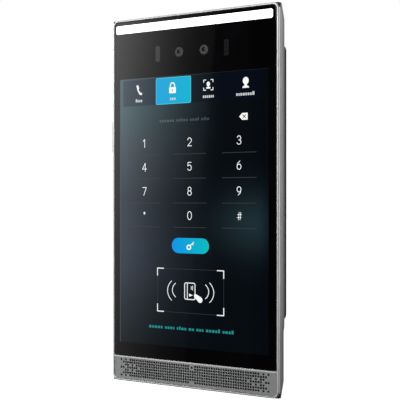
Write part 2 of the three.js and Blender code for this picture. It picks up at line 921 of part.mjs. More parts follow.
function wallBracket() {
  const lipTop = boxBottom - lipGap;
  const lipBottom = lipTop - bracketSheet;
  const plate = rect(-bracketHalfWidth, bracketHalfWidth, bracketBottom, bracketTop, 4);
  let body = join(
    slab(plate, bracketFront, totalDepth),
    block(-lipHalfWidth, lipHalfWidth, bracketFront, totalDepth, lipBottom, bracketBottom + 5),
    block(-lipHalfWidth, lipHalfWidth, lipFront, totalDepth, lipBottom, lipTop),
  );
  for (const [x, z] of hookPlaces) {
    const half = hookWidth / 2;
    const front = hookInner - bracketSheet;
    body = join(
      body,
      block(x - half, x + half, front, bracketFront + 0.5, z, z + hookNeck),
      block(x - half, x + half, front, hookInner, z, z + hookReach),
    );
  }
  const upperSlot = bracketTop - wallSlot.topInset;
  const lowerSlot = bracketBottom + wallSlot.bottomInset;
  const slots = mirroredPlaces(wallSlot.x, upperSlot, lowerSlot);
  for (const [x, z] of slots) {
    const w = wallSlot.width / 2;
    const h = wallSlot.height / 2;
    body = body.subtract(slab(rect(x - w, x + w, z - h, z + h, w), bracketFront - 1, totalDepth + 1));
  }
  const [tx, tz] = tamperPlace;
  const w = plungerRadius + slideGap + 0.9;
  const margin = 2; // the cable window is this much larger than the one in the rear box
  const cable = rect(
    portWindow.left - margin,
    portWindow.right + margin,
    portWindow.bottom - margin,
    portWindow.top + margin,
    3,
  );
  const lipHole = new THREE.CylinderGeometry(securityShank + slideGap, securityShank + slideGap, 6, 12);
  lipHole.rotateX(Math.PI / 2).translate(0, securityDepth, lipBottom);
  return cut(
    body,
    slab(cable, bracketFront - 1, totalDepth + 1),
    slab(rect(tx - w, tx + w, tz - w, tz + liftTravel + w, w * 0.9), bracketFront - 1, totalDepth + 1),
    toSolid(lipHole),
  );
}

// ---- Assembly ----

const finishes = {
  brightAluminium: { color: 0xc9cbcb, roughness: 0.28, metalness: 1 },
  greyAluminium: { color: 0x9b9d9c, roughness: 0.42, metalness: 1 },
  satinAluminium: { color: 0x8d8f8e, roughness: 0.5, metalness: 1 },
  blackGlass: { color: 0x050607, roughness: 0.06, metalness: 0 },
  whiteDiffuser: { color: 0xffffff, roughness: 0.6, metalness: 0 },
  screen: { color: 0x26323c, roughness: 0.2, metalness: 0 },
  blackPlastic: { color: 0x17181a, roughness: 0.55, metalness: 0 },
  lightPlastic: { color: 0xb9bbbb, roughness: 0.6, metalness: 0 },
  rubber: { color: 0x0c0c0d, roughness: 0.85, metalness: 0 },
  clearFilm: { color: 0x2a2c2e, roughness: 0.1, metalness: 0 },
  lens: { color: 0x5a5d60, roughness: 0.15, metalness: 0 },
  mesh: { color: 0x1b1b1c, roughness: 0.9, metalness: 0 },
  circuitBoard: { color: 0x0f4a2c, roughness: 0.5, metalness: 0 },
  steel: { color: 0xa8aaad, roughness: 0.35, metalness: 1 },
  brass: { color: 0xb08d4a, roughness: 0.35, metalness: 1 },
  greenPlastic: { color: 0x1e7a3c, roughness: 0.5, metalness: 0 },
  amberFilm: { color: 0xa5651c, roughness: 0.45, metalness: 0 },
};

const device = new THREE.Group();
device.position.y = -totalDepth;
const unit = new THREE.Group();
const bracket = new THREE.Group();
device.add(unit, bracket);

function add(group, name, solid, finish, x = 0, depth = 0, z = 0) {
  const made = solid.getMesh();
  const g = new THREE.BufferGeometry();
  g.setAttribute("position", new THREE.BufferAttribute(made.vertProperties, 3));
  g.setIndex(new THREE.BufferAttribute(made.triVerts, 1));
  g.computeVertexNormals();
  const mesh = new THREE.Mesh(g, new THREE.MeshStandardMaterial(finishes[finish]));
  mesh.name = name;
  mesh.position.set(x, depth, z);
  group.add(mesh);
}

add(unit, "front_frame", frontFrame(), "brightAluminium");
add(unit, "frame_seal", frameSeal(), "rubber");
add(unit, "cover_glass", coverGlass(), "blackGlass");
add(unit, "glass_gasket", glassGasket(), "rubber");
add(unit, "touch_sensor", displayLayer(glassBack + filmGap, touchThickness, 0.6), "clearFilm");
add(unit, "lcd_panel", displayLayer(panelFront, panelThickness), "screen");
add(unit, "backlight_unit", displayLayer(panelBack + faceGap, backlightThickness), "steel");
add(unit, "light_bar", lightBar(), "whiteDiffuser");
add(unit, "led_board", ledBoard(), "circuitBoard");

for (const [side, sign] of [["left", -1], ["right", 1]]) {
  const lensX = sign * lensSpread / 2;
  add(unit, "camera_lens_" + side, cameraLens(), "lens", lensX, 0, lensHeight);
  add(unit, "camera_module_" + side, cameraModule(), "blackPlastic", lensX, 0, lensHeight);
  add(unit, "infrared_lamp_" + side, infraredLamp(), "lens", sign * lampSpread / 2, 0, lensHeight);
}
add(unit, "camera_board", cameraBoard(), "circuitBoard");

add(unit, "speaker_grille", speakerGrille(), "satinAluminium");
add(unit, "acoustic_mesh", acousticMesh(), "mesh");
add(unit, "speaker_gasket", speakerGasket(), "rubber");
add(unit, "speaker_frame", speakerFrame(), "blackPlastic");
add(unit, "speaker_cone", speakerCone(), "clearFilm");
add(unit, "voice_coil", voiceCoil(), "brass");
add(unit, "speaker_magnet", speakerMagnet(), "steel");
add(unit, "microphone_boot", microphoneBoot(), "rubber", 0, 0, micHeight);
add(unit, "microphone", microphone(), "steel", 0, 0, micHeight);

add(unit, "side_housing", sideHousing(), "greyAluminium");
add(unit, "chassis_plate", chassisPlate(), "steel");
add(unit, "reader_antenna", readerAntenna(), "circuitBoard");
add(unit, "display_flex", displayFlex(), "amberFilm");
add(unit, "main_board", mainBoard(), "circuitBoard");
add(unit, "processor_shield", processorShield(), "steel");
add(unit, "heat_spreader", heatSpreader(), "satinAluminium");
add(unit, "network_jack", networkJack(), "steel");
add(unit, "power_terminal", terminalBlock(portWindow.bottom + powerTerminalRise), "greenPlastic");
add(unit, "lock_terminal", terminalBlock(portWindow.bottom + lockTerminalRise), "greenPlastic");
add(unit, "lock_relay", lockRelay(), "blackPlastic");
add(unit, "clock_battery", clockBattery(), "steel");
add(unit, "tamper_switch", tamperSwitch(), "blackPlastic");
add(unit, "tamper_plunger", tamperPlunger(), "lightPlastic", tamperPlace[0], 0, tamperPlace[1]);
add(unit, "reset_switch", resetSwitch(), "blackPlastic");
add(unit, "reset_button", resetButton(), "lightPlastic", resetPlace[0], 0, resetPlace[1]);
add(unit, "service_socket", serviceSocket(), "steel");
add(unit, "port_cover", portCover(), "lightPlastic");

add(unit, "rear_box", rearBox(), "blackPlastic");
add(unit, "cover_seal", coverSeal(), "rubber");
add(unit, "port_seal", portSeal(), "rubber");

housingScrewPlaces.forEach(([x, z], i) => {
  const seat = (z < 0 ? lowerDepth : housingDepth) - 0.9 + faceGap;
  const length = z < 0 ? 5 : 8.2;
  const solid = screw(smallShank, smallHead, smallHeadHeight, length);
  add(unit, "housing_screw_" + (i + 1), solid, "steel", x, seat - length, z);
});
coverScrewPlaces.forEach(([x, z], i) => {
  const seat = unitDepth - 2.4 + faceGap;
  const length = seat - (housingDepth - backWall) + 0.8;
  const solid = screw(smallShank, coverHead, 1.8, length);
  add(unit, "cover_screw_" + (i + 1), solid, "steel", x, seat - length, z);
});
boardScrewPlaces.forEach(([x, z], i) => {
  const length = boardBack - chassisBack + 0.3;
  const solid = screw(1, 2, 1.2, length, 8);
  add(unit, "board_screw_" + (i + 1), solid, "steel", x, boardBack + faceGap - length, z);
});

add(bracket, "wall_bracket", wallBracket(), "steel");
const securityGeometry = screw(securityShank, securityHead, 2.2, 9);
const securityTip = boxBottom - lipGap - bracketSheet - faceGap + 9;
add(bracket, "security_screw", securityGeometry, "steel", 0, securityDepth, securityTip);
bracket.getObjectByName("security_screw").rotation.x = -Math.PI / 2;

export default device;
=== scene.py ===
import math
import random

import bmesh
import bpy
from mathutils import Matrix, Vector


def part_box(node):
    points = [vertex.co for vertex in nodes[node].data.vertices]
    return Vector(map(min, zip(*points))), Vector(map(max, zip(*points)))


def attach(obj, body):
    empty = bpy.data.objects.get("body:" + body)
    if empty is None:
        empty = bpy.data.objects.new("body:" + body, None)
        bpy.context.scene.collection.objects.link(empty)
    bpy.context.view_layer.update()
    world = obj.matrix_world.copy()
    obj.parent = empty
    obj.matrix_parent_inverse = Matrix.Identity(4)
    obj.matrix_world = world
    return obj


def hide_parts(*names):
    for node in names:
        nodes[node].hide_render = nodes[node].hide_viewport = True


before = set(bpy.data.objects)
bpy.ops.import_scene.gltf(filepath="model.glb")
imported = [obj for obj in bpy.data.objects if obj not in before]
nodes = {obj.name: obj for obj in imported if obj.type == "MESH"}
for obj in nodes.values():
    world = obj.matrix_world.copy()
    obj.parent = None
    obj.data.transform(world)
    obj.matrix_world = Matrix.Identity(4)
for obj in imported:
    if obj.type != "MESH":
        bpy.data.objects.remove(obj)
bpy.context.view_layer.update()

mm = 0.001
scene = bpy.context.scene
random.seed(4)


# Shader maths: a wrapped socket, so that expressions add their own Math nodes
class Signal:
    def __init__(self, paint, socket):
        self.paint = paint
        self.socket = socket

    def maths(self, operation, first, second):
        return self.paint.node("ShaderNodeMath", {"operation": operation}, {0: first, 1: second})

    def __add__(self, other):
        return self.maths("ADD", self, other)

    def __radd__(self, other):
        return self.maths("ADD", other, self)

    def __sub__(self, other):
        return self.maths("SUBTRACT", self, other)

    def __rsub__(self, other):
        return self.maths("SUBTRACT", other, self)

    def __mul__(self, other):
        return self.maths("MULTIPLY", self, other)

    def __rmul__(self, other):
        return self.maths("MULTIPLY", other, self)

    def __truediv__(self, other):
        return self.maths("DIVIDE", self, other)

    def __pow__(self, other):
        return self.maths("POWER", self, other)

    def __gt__(self, other):
        return self.maths("GREATER_THAN", self, other)

    def __lt__(self, other):
        return self.maths("LESS_THAN", self, other)

    def fade(self):
        return self.maths("EXPONENT", self * -0.5, 0.0)


# A material under construction: node() adds any node, settings first, then its sockets
class Paint:
    def __init__(self, name, tree=None):
        if tree is None:
            self.material = bpy.data.materials.new(name)
            self.material.use_nodes = True
            tree = self.material.node_tree
            self.surface = tree.nodes["Principled BSDF"]
        self.tree = tree

    def node(self, kind, settings=None, sockets=None, output=0):
        made = self.tree.nodes.new(kind)
        for key, value in (settings or {}).items():
            if key == "stops":
                ramp = made.color_ramp
                while len(ramp.elements) < len(value):
                    ramp.elements.new(0.5)
                for element, (position, colour) in zip(ramp.elements, value):
                    element.position = position
                    element.color = (*colour, 1)
            else:
                setattr(made, key, value)
        for key, value in (sockets or {}).items():
            self.feed(made.inputs[key], value)
        return Signal(self, made.outputs[output])

    def feed(self, socket, value):
        if isinstance(value, Signal):
            self.tree.links.new(value.socket, socket)
        elif socket.type == "RGBA":
            socket.default_value = (*value, 1)
        else:
            socket.default_value = value

    def finish(self, **values):
        for key, value in values.items():
            self.feed(self.surface.inputs[key.replace("_", " ")], value)
        return self.material

    # Position on the object at rest, in millimetres
    def place(self, stretch=(1, 1, 1)):
        where = self.node("ShaderNodeTexCoord", output=3)
        return self.node("ShaderNodeMapping", None,
                         {"Vector": where, "Scale": [1000 * s for s in stretch]})

    # One coordinate of a position: 0, 1 or 2
    def axis(self, where, index):
        return self.node("ShaderNodeSeparateXYZ", None, {0: where}, output=index)

    def noise(self, where, scale, detail=3, roughness=0.55):
        sockets = {"Vector": where, "Scale": scale, "Detail": detail, "Roughness": roughness}
        return self.node("ShaderNodeTexNoise", None, sockets)

    def span(self, value, low, high, start=0.0, end=1.0, shape="SMOOTHSTEP"):
        return self.node("ShaderNodeMapRange", {"interpolation_type": shape},
                         {0: value, 1: low, 2: high, 3: start, 4: end})

    def blend(self, factor, first, second, mode="MIX"):
        return self.node("ShaderNodeMix", {"data_type": "RGBA", "blend_type": mode},
                         {0: factor, 6: first, 7: second}, output=2)

    def softEdge(self, radius):
        return self.node("ShaderNodeBevel", {"samples": 4}, {"Radius": radius * mm})

    # 1 on convex and concave edges within the radius, 0 on flat faces
    def edges(self, radius):
        soft = self.softEdge(radius)
        flat = self.node("ShaderNodeNewGeometry", output=1)
        alike = self.node("ShaderNodeVectorMath", {"operation": "DOT_PRODUCT"},
                          {0: soft, 1: flat}, output=1)
        return self.span(alike, 0.995, 0.9, shape="LINEAR")

    def bump(self, height, strength, distance, base=None):
        sockets = {"Height": height, "Strength": strength, "Distance": distance * mm}
        if base is not None:
            sockets["Normal"] = base
        return self.node("ShaderNodeBump", None, sockets)


# Finishes. The usual bend of light in glass, and the turn of faces that are cut last
usualBend = 1.5
slant = {"from": -0.86, "to": -0.5}


# A metal or a plastic: clouded, grained, and worn bright along its edges
def solidPaint(name, look):
    paint = Paint(name)
    where = paint.place()
    streaked = paint.place(look["stretch"]) if "stretch" in look else where
    grain = paint.noise(streaked, look["grain"], look["detail"], look["mix"])
    cloud = paint.noise(where, look["cloud"], 3)
    speck = paint.noise(where, look["speck"], 2, 0.7)
    worn = paint.edges(look["edge"]) * paint.span(speck, *look["chips"])
    shade = paint.blend(paint.span(cloud, 0.3, 0.7), look["colour"], look["other"])
    shade = paint.blend(paint.span(grain, *look["marks"]) * look["streak"], shade,
                        look.get("dark", look["bright"]))
    shade = paint.blend(worn * look["wear"], shade, look["bright"])
    rough = look["rough"] + (grain - 0.5) * look["roughVary"] + (cloud - 0.5) * look["uneven"]
    rough = rough - worn * look["uneven"]
    normal = paint.bump(grain, look["bump"], look["depth"], paint.softEdge(look["edge"]))
    metal = look["metal"]
    if "cut" in look:
        # slanted faces are cut after the finish, so they are brighter and smoother
        facing = paint.node("ShaderNodeNewGeometry", output=3)
        front = paint.axis(facing, 1)
        slanted = (front > slant["from"]) * (front < slant["to"])
        rough = rough - slanted * (look["rough"] - look["cut"])
        metal = metal + slanted * (1 - metal)
    if "bend" in look:
        paint.feed(paint.surface.inputs["IOR"], look["bend"])
    return paint.finish(Base_Color=shade, Metallic=metal, Roughness=rough, Normal=normal)


metalBasis = {
    "detail": 4, "mix": 0.6, "cloud": 0.06, "speck": 2.2, "chips": (0.35, 0.6),
    "marks": (0.35, 0.75), "uneven": 0.08, "depth": 0.05, "rough": 0.36, "wear": 0.5
}
metalLooks = {
    "rimAluminium": {
        "colour": (0.86, 0.865, 0.87), "other": (0.8, 0.805, 0.81), "dark": (0.66, 0.66, 0.67),
        "bright": (0.95, 0.95, 0.95), "metal": 0.5, "roughVary": 0.14, "grain": 5.0, "streak": 0.25,
        "bump": 0.12, "edge": 0.12, "cut": 0.22},
    "wallAluminium": {
        "colour": (0.42, 0.425, 0.43), "other": (0.38, 0.385, 0.39), "dark": (0.25, 0.25, 0.26),
        "bright": (0.6, 0.6, 0.6), "metal": 0.85, "roughVary": 0.16, "grain": 4.0, "streak": 0.3,
        "bump": 0.16, "edge": 0.2, "wear": 0.4},
    "grilleAluminium": {
        "colour": (0.4, 0.405, 0.41), "other": (0.37, 0.375, 0.38), "dark": (0.26, 0.26, 0.27),
        "bright": (0.5, 0.5, 0.5), "metal": 0.55, "rough": 0.4, "roughVary": 0.14, "grain": 5.0,
        "streak": 0.25, "bump": 0.12, "edge": 0.08, "wear": 0.35},
    "bracketSteel": {
        "colour": (0.5, 0.51, 0.52), "other": (0.42, 0.43, 0.45), "dark": (0.3, 0.31, 0.33),
        "bright": (0.72, 0.73, 0.74), "metal": 0.85, "roughVary": 0.25, "grain": 0.35,
        "streak": 0.5, "bump": 0.08, "edge": 0.25},
    "platedSteel": {
        "colour": (0.58, 0.58, 0.57), "other": (0.5, 0.5, 0.49), "dark": (0.3, 0.3, 0.3),
        "bright": (0.8, 0.8, 0.79), "metal": 0.95, "rough": 0.28, "roughVary": 0.2, "grain": 3.0,
        "streak": 0.3, "bump": 0.1, "edge": 0.1},
    "darkMesh": {
        "colour": (0.004, 0.004, 0.004), "other": (0.003, 0.003, 0.003),
        "dark": (0.001, 0.001, 0.001), "bright": (0.01, 0.01, 0.01), "metal": 0.0, "rough": 0.9,
        "roughVary": 0.1, "grain": 8.0, "streak": 0.4, "bump": 0.3, "edge": 0.05, "wear": 0.2},
    "coilCopper": {
        "colour": (0.62, 0.28, 0.14), "other": (0.5, 0.2, 0.1), "dark": (0.25, 0.09, 0.05),
        "bright": (0.8, 0.45, 0.3), "metal": 1.0, "rough": 0.32, "roughVary": 0.15, "grain": 6.0,
        "stretch": (1, 8, 1), "streak": 0.6, "bump": 0.4, "edge": 0.05, "wear": 0.3},
    "shieldSteel": {
        "colour": (0.55, 0.56, 0.56), "other": (0.47, 0.48, 0.48), "dark": (0.32, 0.32, 0.33),
        "bright": (0.75, 0.75, 0.75), "metal": 0.95, "rough": 0.32, "roughVary": 0.2, "grain": 2.5,
        "stretch": (0.1, 1, 1), "streak": 0.5, "bump": 0.1, "edge": 0.15, "wear": 0.4},
}
plasticBasis = {
    "detail": 3, "mix": 0.65, "cloud": 0.05, "speck": 1.6, "chips": (0.4, 0.62),
    "marks": (0.55, 0.8), "streak": 0.25, "uneven": 0.1, "depth": 0.06, "metal": 0, "bend": 1.5,
    "roughVary": 0.15, "grain": 3.0, "edge": 0.1, "wear": 0.3
}
plasticLooks = {
    "boxPlastic": {
        "colour": (0.013, 0.0135, 0.014), "other": (0.01, 0.0105, 0.011),
        "bright": (0.05, 0.05, 0.053), "rough": 0.58, "roughVary": 0.2, "grain": 3.2, "bump": 0.35,
        "edge": 0.3, "wear": 0.35, "bend": 1.28},
    "paleCap": {
        "colour": (0.72, 0.71, 0.69), "other": (0.66, 0.65, 0.63), "bright": (0.85, 0.84, 0.82),
        "rough": 0.5, "bump": 0.25, "edge": 0.2},
    "innerPlastic": {
        "colour": (0.028, 0.028, 0.03), "other": (0.02, 0.02, 0.022), "bright": (0.08, 0.08, 0.08),
        "rough": 0.45, "roughVary": 0.2, "bump": 0.25, "edge": 0.15},
    "sealRubber": {
        "colour": (0.012, 0.012, 0.012), "other": (0.009, 0.009, 0.009),
        "bright": (0.04, 0.04, 0.04), "rough": 0.8, "roughVary": 0.12, "grain": 5.0, "bump": 0.4},
    "seamRubber": {
        "colour": (0.003, 0.003, 0.003), "other": (0.002, 0.002, 0.002),
        "bright": (0.008, 0.008, 0.008), "rough": 0.85, "roughVary": 0.1, "grain": 5.0, "bump": 0.3,
        "wear": 0.2},
    "terminalGreen": {
        "colour": (0.02, 0.26, 0.09), "other": (0.015, 0.22, 0.07), "bright": (0.1, 0.42, 0.2),
        "rough": 0.42, "bump": 0.2, "edge": 0.15},
    "amberFilm": {
        "colour": (0.42, 0.19, 0.03), "other": (0.36, 0.15, 0.02), "bright": (0.6, 0.33, 0.1),
        "rough": 0.3, "roughVary": 0.1, "grain": 1.0, "bump": 0.1, "edge": 0.05, "wear": 0.2},
    "frostedWhite": {
        "colour": (0.75, 0.76, 0.77), "other": (0.7, 0.71, 0.72), "bright": (0.85, 0.85, 0.85),
        "rough": 0.5, "bump": 0.2, "wear": 0.2},
}


def boardPaint(name):
    paint = Paint(name)
    where = paint.place()
    tracks = paint.node("ShaderNodeTexBrick", {"offset": 0.37},
                        {"Vector": where, "Scale": 0.3, "Mortar Size": 0.04, "Bias": 0.0})
    across = paint.axis(where, 0)
    along = paint.axis(where, 2)
    pitch = {0: across + along * 0.35, 1: 1.1}
    lines = paint.node("ShaderNodeMath", {"operation": "PINGPONG"}, pitch)
    mask = paint.span(lines, 0.8, 0.95) * paint.span(paint.noise(where, 0.12, 2), 0.48, 0.52)
    speck = paint.noise(where, 1.5, 2)
    shade = paint.blend(mask, (0.012, 0.09, 0.045), (0.03, 0.16, 0.08))
    shade = paint.blend(paint.span(speck, 0.66, 0.7), shade, (0.55, 0.5, 0.3))
    return paint.finish(Base_Color=shade, Roughness=0.35 + 0.2 * speck,
                        Normal=paint.bump(mask + tracks * 0.2, 0.3, 0.04))


def glassPaint(name, colour, smudge):
    paint = Paint(name)
    where = paint.place()
    film = paint.noise(where, 0.03, 4, 0.6)
    dust = paint.noise(where, 1.4, 2)
    rough = smudge + 0.05 * paint.span(film, 0.45, 0.75) + 0.02 * dust
    shade = paint.blend(paint.span(film, 0.4, 0.8), colour, [c * 1.5 + 0.0005 for c in colour])
    return paint.finish(Base_Color=shade, Roughness=rough, Normal=paint.softEdge(0.05),
                        IOR=usualBend)


def lensPaint(name):
    paint = Paint(name)
    where = paint.place()
    haze = paint.noise(where, 0.8, 2)
    shade = paint.blend(haze, (0.012, 0.012, 0.02), (0.02, 0.012, 0.03))
    return paint.finish(Base_Color=shade, Roughness=0.06 + 0.04 * haze, Coat_Weight=0.6)


# A lit area of the screen: the colour is what shines, under the same glossy glass
def litPaint(name, colour, gradient=None):
    paint = Paint(name)
    where = paint.place()
    grain = paint.noise(where, 1.3, 2)
    if gradient:
        along = paint.span(paint.axis(where, 0), *gradient["from"], shape="LINEAR")
        colour = paint.blend(along, gradient["left"], gradient["right"])
        colour = paint.blend(grain * 0.1, colour, gradient["left"])
    else:
        colour = paint.blend(grain * 0.12, colour, [c * 0.7 for c in colour])
    paints[name] = paint.finish(Base_Color=(0.003, 0.003, 0.004), Emission_Color=colour,
                                Emission_Strength=1.0, Roughness=0.05 + 0.03 * grain)


paints = {}
for basis, looks in ((metalBasis, metalLooks), (plasticBasis, plasticLooks)):
    for name, look in looks.items():
        paints[name] = solidPaint(name, {**basis, **look})
paints["circuitBoard"] = boardPaint("circuitBoard")
paints["blackGlass"] = glassPaint("blackGlass", (0.0015, 0.0015, 0.002), 0.02)
paints["clearFilm"] = glassPaint("clearFilm", (0.03, 0.032, 0.035), 0.12)
paints["lensGlass"] = lensPaint("lensGlass")
print("finishes made:", len(paints))


# Mesh helpers, in millimetres: outlines are lists of (x, z), depths run back from the front

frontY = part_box("front_frame")[0].y


def at(x, depth, z):
    return Vector((x * mm, frontY + depth * mm, z * mm))


def boxOf(node):
    low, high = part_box(node)
    return {"x0": low.x / mm, "x1": high.x / mm, "z0": low.z / mm, "z1": high.z / mm,
            "front": (low.y - frontY) / mm, "back": (high.y - frontY) / mm}


def middleOf(box):
    return (box["x0"] + box["x1"]) / 2, (box["z0"] + box["z1"]) / 2


def arc(cx, cz, rx, rz, start, end, steps):
    angles = [math.radians(start + (end - start) * i / steps) for i in range(steps + 1)]
    return [(cx + rx * math.cos(a), cz + rz * math.sin(a)) for a in angles]


def disc(cx, cz, rx, rz, count=24):
    return arc(cx, cz, rx, rz, 0, 360 - 360 / count, count - 1)


def roundedRect(x0, x1, z0, z1, radius, steps):
    r = max(radius, 0.01)
    corners = [(x1 - r, z1 - r, 0), (x0 + r, z1 - r, 90),
               (x0 + r, z0 + r, 180), (x1 - r, z0 + r, 270)]
    return [p for cx, cz, start in corners for p in arc(cx, cz, r, r, start, start + 90, steps)]


# Rounds every corner of a closed outline with a short curve
def easeCorners(points, radius, steps=3):
    eased = []
    for i, point in enumerate(points):
        corner = Vector(point)
        ends = []
        for j in (i - 1, (i + 1) % len(points)):
            leg = Vector(points[j]) - corner
            ends.append(corner + leg.normalized() * min(radius, leg.length * 0.45))
        for k in range(steps + 1):
            t = k / steps
            p = ends[0] * (1 - t) ** 2 + corner * (2 * t * (1 - t)) + ends[1] * t ** 2
            eased.append((p.x, p.y))
    return eased


# Joins closed rings of points one after the other
def loft(mesh, rings, closedPath=False, capStart=False, capEnd=False):
    made = [[mesh.verts.new(p) for p in ring] for ring in rings]
    pairs = list(zip(made, made[1:])) + ([(made[-1], made[0])] if closedPath else [])
    for a, b in pairs:
        for i in range(len(a)):
            j = (i + 1) % len(a)
            mesh.faces.new((a[i], a[j], b[j], b[i]))
    if capStart:
        mesh.faces.new(list(reversed(made[0])))
    if capEnd:
        mesh.faces.new(made[-1])
    return made


# Carries a profile of (inset, depth) round a rounded rectangle
def carry(mesh, edge, profile, **ends):
    rings = []
    for inset, depth in profile:
        outline = roundedRect(edge["x0"] + inset, edge["x1"] - inset, edge["z0"] + inset,
                              edge["z1"] - inset, edge["radius"] - inset, edge.get("steps", 8))
        rings.append([at(x, depth, z) for x, z in outline])
    loft(mesh, rings, **ends)


# Turns a profile of (radius, height) about an axis; lobes make a star drive recess
def turn(mesh, profile, matrix, count=36, **ends):
    rings = []
    for radius, height, *lobe in profile:
        ring = []
        for i in range(count):
            a = 2 * math.pi * i / count
            r = radius * (1 + (lobe[0] * math.cos(6 * a) if lobe else 0))
            ring.append(matrix @ Vector((r * math.cos(a) * mm, r * math.sin(a) * mm, height * mm)))
        rings.append(ring)
    loft(mesh, rings, **ends)


def solidBlock(mesh, x0, x1, front, back, z0, z1, edge, radius):
    cut = edge * 0.3
    profile = [(edge, front), (cut, front + cut), (0, front + edge), (0, back - edge),
               (cut, back - cut), (edge, back)]
    spread = {"x0": x0, "x1": x1, "z0": z0, "z1": z1, "radius": radius, "steps": 3}
    carry(mesh, spread, profile, capStart=True, capEnd=True)


def addObject(name, mesh):
    data = bpy.data.meshes.new(name)
    mesh.to_mesh(data)
    mesh.free()
    made = bpy.data.objects.new(name, data)
    scene.collection.objects.link(made)
    return made


def sharpen(made):
    made.data.set_sharp_from_angle(angle=math.radians(35))
    made.modifiers.new("weigh", "WEIGHTED_NORMAL").keep_sharp = True


def piece(name, build, body, paint, replaces=(), merge=True):
    mesh = bmesh.new()
    build(mesh)
    if merge:
        bmesh.ops.remove_doubles(mesh, verts=mesh.verts, dist=1e-7)
    bmesh.ops.recalc_face_normals(mesh, faces=mesh.faces)
    made = addObject(name, mesh)
    made.data.materials.append(paints[paint] if isinstance(paint, str) else paint)
    made.data.shade_smooth()
    sharpen(made)
    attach(made, body)
    if replaces:
        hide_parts(*replaces)
    return made


# Cuts a shape out of a piece's mesh
def cutOut(made, build):
    mesh = bmesh.new()
    build(mesh)
    bmesh.ops.recalc_face_normals(mesh, faces=mesh.faces)
    cutter = addObject("cutter", mesh)
    made.modifiers.remove(made.modifiers["weigh"])
    change = made.modifiers.new("cut", "BOOLEAN")
    change.object = cutter
    change.solver = "EXACT"
    bpy.context.view_layer.update()
    seen = bpy.context.evaluated_depsgraph_get()
    result = bpy.data.meshes.new_from_object(made.evaluated_get(seen))
    made.modifiers.clear()
    made.data = result
    bpy.data.objects.remove(cutter)
    sharpen(made)


# Front frame: a rounded rim with a chamfer, and the bar between the glass and the grille

rim = {"flat": 0.62, "chamfer": 0.5, "radius": 4.0, "depth": 2.6, "ledge": 1.6, "ledgeWidth": 1.15,
       "ease": 0.1, "barTop": -102.2, "barBottom": -103.2, "barLap": 0.3, "barEase": 0.12,
       "barRadius": 0.05}
rimEdge = dict(boxOf("front_frame"), radius=rim["radius"], steps=12)
rimWidth = rim["flat"] + rim["chamfer"]


def buildFrame(mesh):
    c, w = rim["chamfer"], rimWidth
    inner = w + rim["ledgeWidth"]
    profile = [(0, rim["depth"]), (0, c), (c, 0), (w, 0), (w, rim["ledge"]), (inner, rim["ledge"]),
               (inner, rim["depth"])]
    carry(mesh, rimEdge, easeCorners(profile, rim["ease"]), closedPath=True)
    reach = rimEdge["x1"] - rimWidth + rim["barLap"]
    solidBlock(mesh, -reach, reach, 0, rim["depth"], rim["barBottom"], rim["barTop"],
               rim["barEase"], rim["barRadius"])


piece("frontFrame", buildFrame, "unit", "rimAluminium", ["front_frame"])

# The black seal behind the rim rises at its four corners, round the rim's rounded corners
sealCorner = {"front": 1.1, "gap": 0.03, "square": 0.1, "ease": 0.3, "blunt": 0.1}


def buildCorners(mesh):
    r, g = rimEdge["radius"], sealCorner["gap"]
    far = r - sealCorner["square"]
    eased, blunt = far - sealCorner["ease"], far - sealCorner["blunt"]
    for sx in (-1, 1):
        for sz in (-1, 1):
            cx, cz = sx * (rimEdge["x1"] - r), sz * (rimEdge["z1"] - r)
            outline = [(far, 0.0), (far, eased), (blunt, blunt), (eased, far), (0.0, far)]
            outline = [(px, pz) for px, pz in outline if math.hypot(px, pz) > r + g]
            start = math.degrees(math.acos(far / (r + g)))
            outline += arc(0, 0, r + g, r + g, 90 - start, start, 8)
            ring = [(cx + sx * px, cz + sz * pz) for px, pz in outline]
            depths = (sealCorner["front"], rim["depth"])
            loft(mesh, [[at(x, d, z) for x, z in ring] for d in depths], capStart=True, capEnd=True)


piece("sealCorners", buildCorners, "unit", "seamRubber", merge=False)

# Cover glass with a polished edge

glass = boxOf("cover_glass")
seam = {"inset": 0.15, "front": 0.13, "lap": 0.05, "reach": 0.4}
for low, high in (("x0", "x1"), ("z0", "z1")):
    glass[low] += seam["inset"]
    glass[high] -= seam["inset"]
glass.update({"radius": 2.0, "polish": 0.12, "bevel": 0.1, "margin": 0.3})


def buildGlass(mesh):
    front, back, p = glass["front"], glass["back"], glass["polish"]
    bevel, margin = glass["bevel"], glass["margin"]
    ease = [(p * (1 - math.sin(t)), front + p * (1 - math.cos(t))) for t in
            [math.radians(a) for a in (90, 68, 45, 22, 0)]]
    profile = [(margin, back), (bevel, back), (0, back - bevel), *ease, (p + margin, front)]
    carry(mesh, glass, profile, capStart=True, capEnd=True)


piece("coverGlass", buildGlass, "unit", "blackGlass", ["cover_glass"])


# Black seal that fills the gap between the frame and the edge of the glass
def buildSeam(mesh):
    out, front, back = seam["inset"] + seam["reach"], seam["front"], rim["ledge"] - 0.05
    edge = dict(glass, radius=glass["radius"] + 0.1)
    profile = [(-out, back), (-out, front + 0.05), (-out + 0.05, front), (seam["lap"], front),
               (seam["lap"], back)]
    carry(mesh, edge, profile, closedPath=True)


piece("glassSeal", buildSeam, "unit", "seamRubber")
print("frame and glass made")


# Windows and lit shapes lie on the glass, each a hair in front of the last
glassFront = glass["front"]


def glassShapes(name, shapes, lift, paint):
    def build(mesh):
        for outline in shapes:
            mesh.faces.new([mesh.verts.new(at(x, glassFront - lift, z)) for x, z in outline])

    made = piece(name, build, "unit", paint, merge=False)
    for face in made.data.polygons:
        if face.normal.y > 0:
            face.flip()


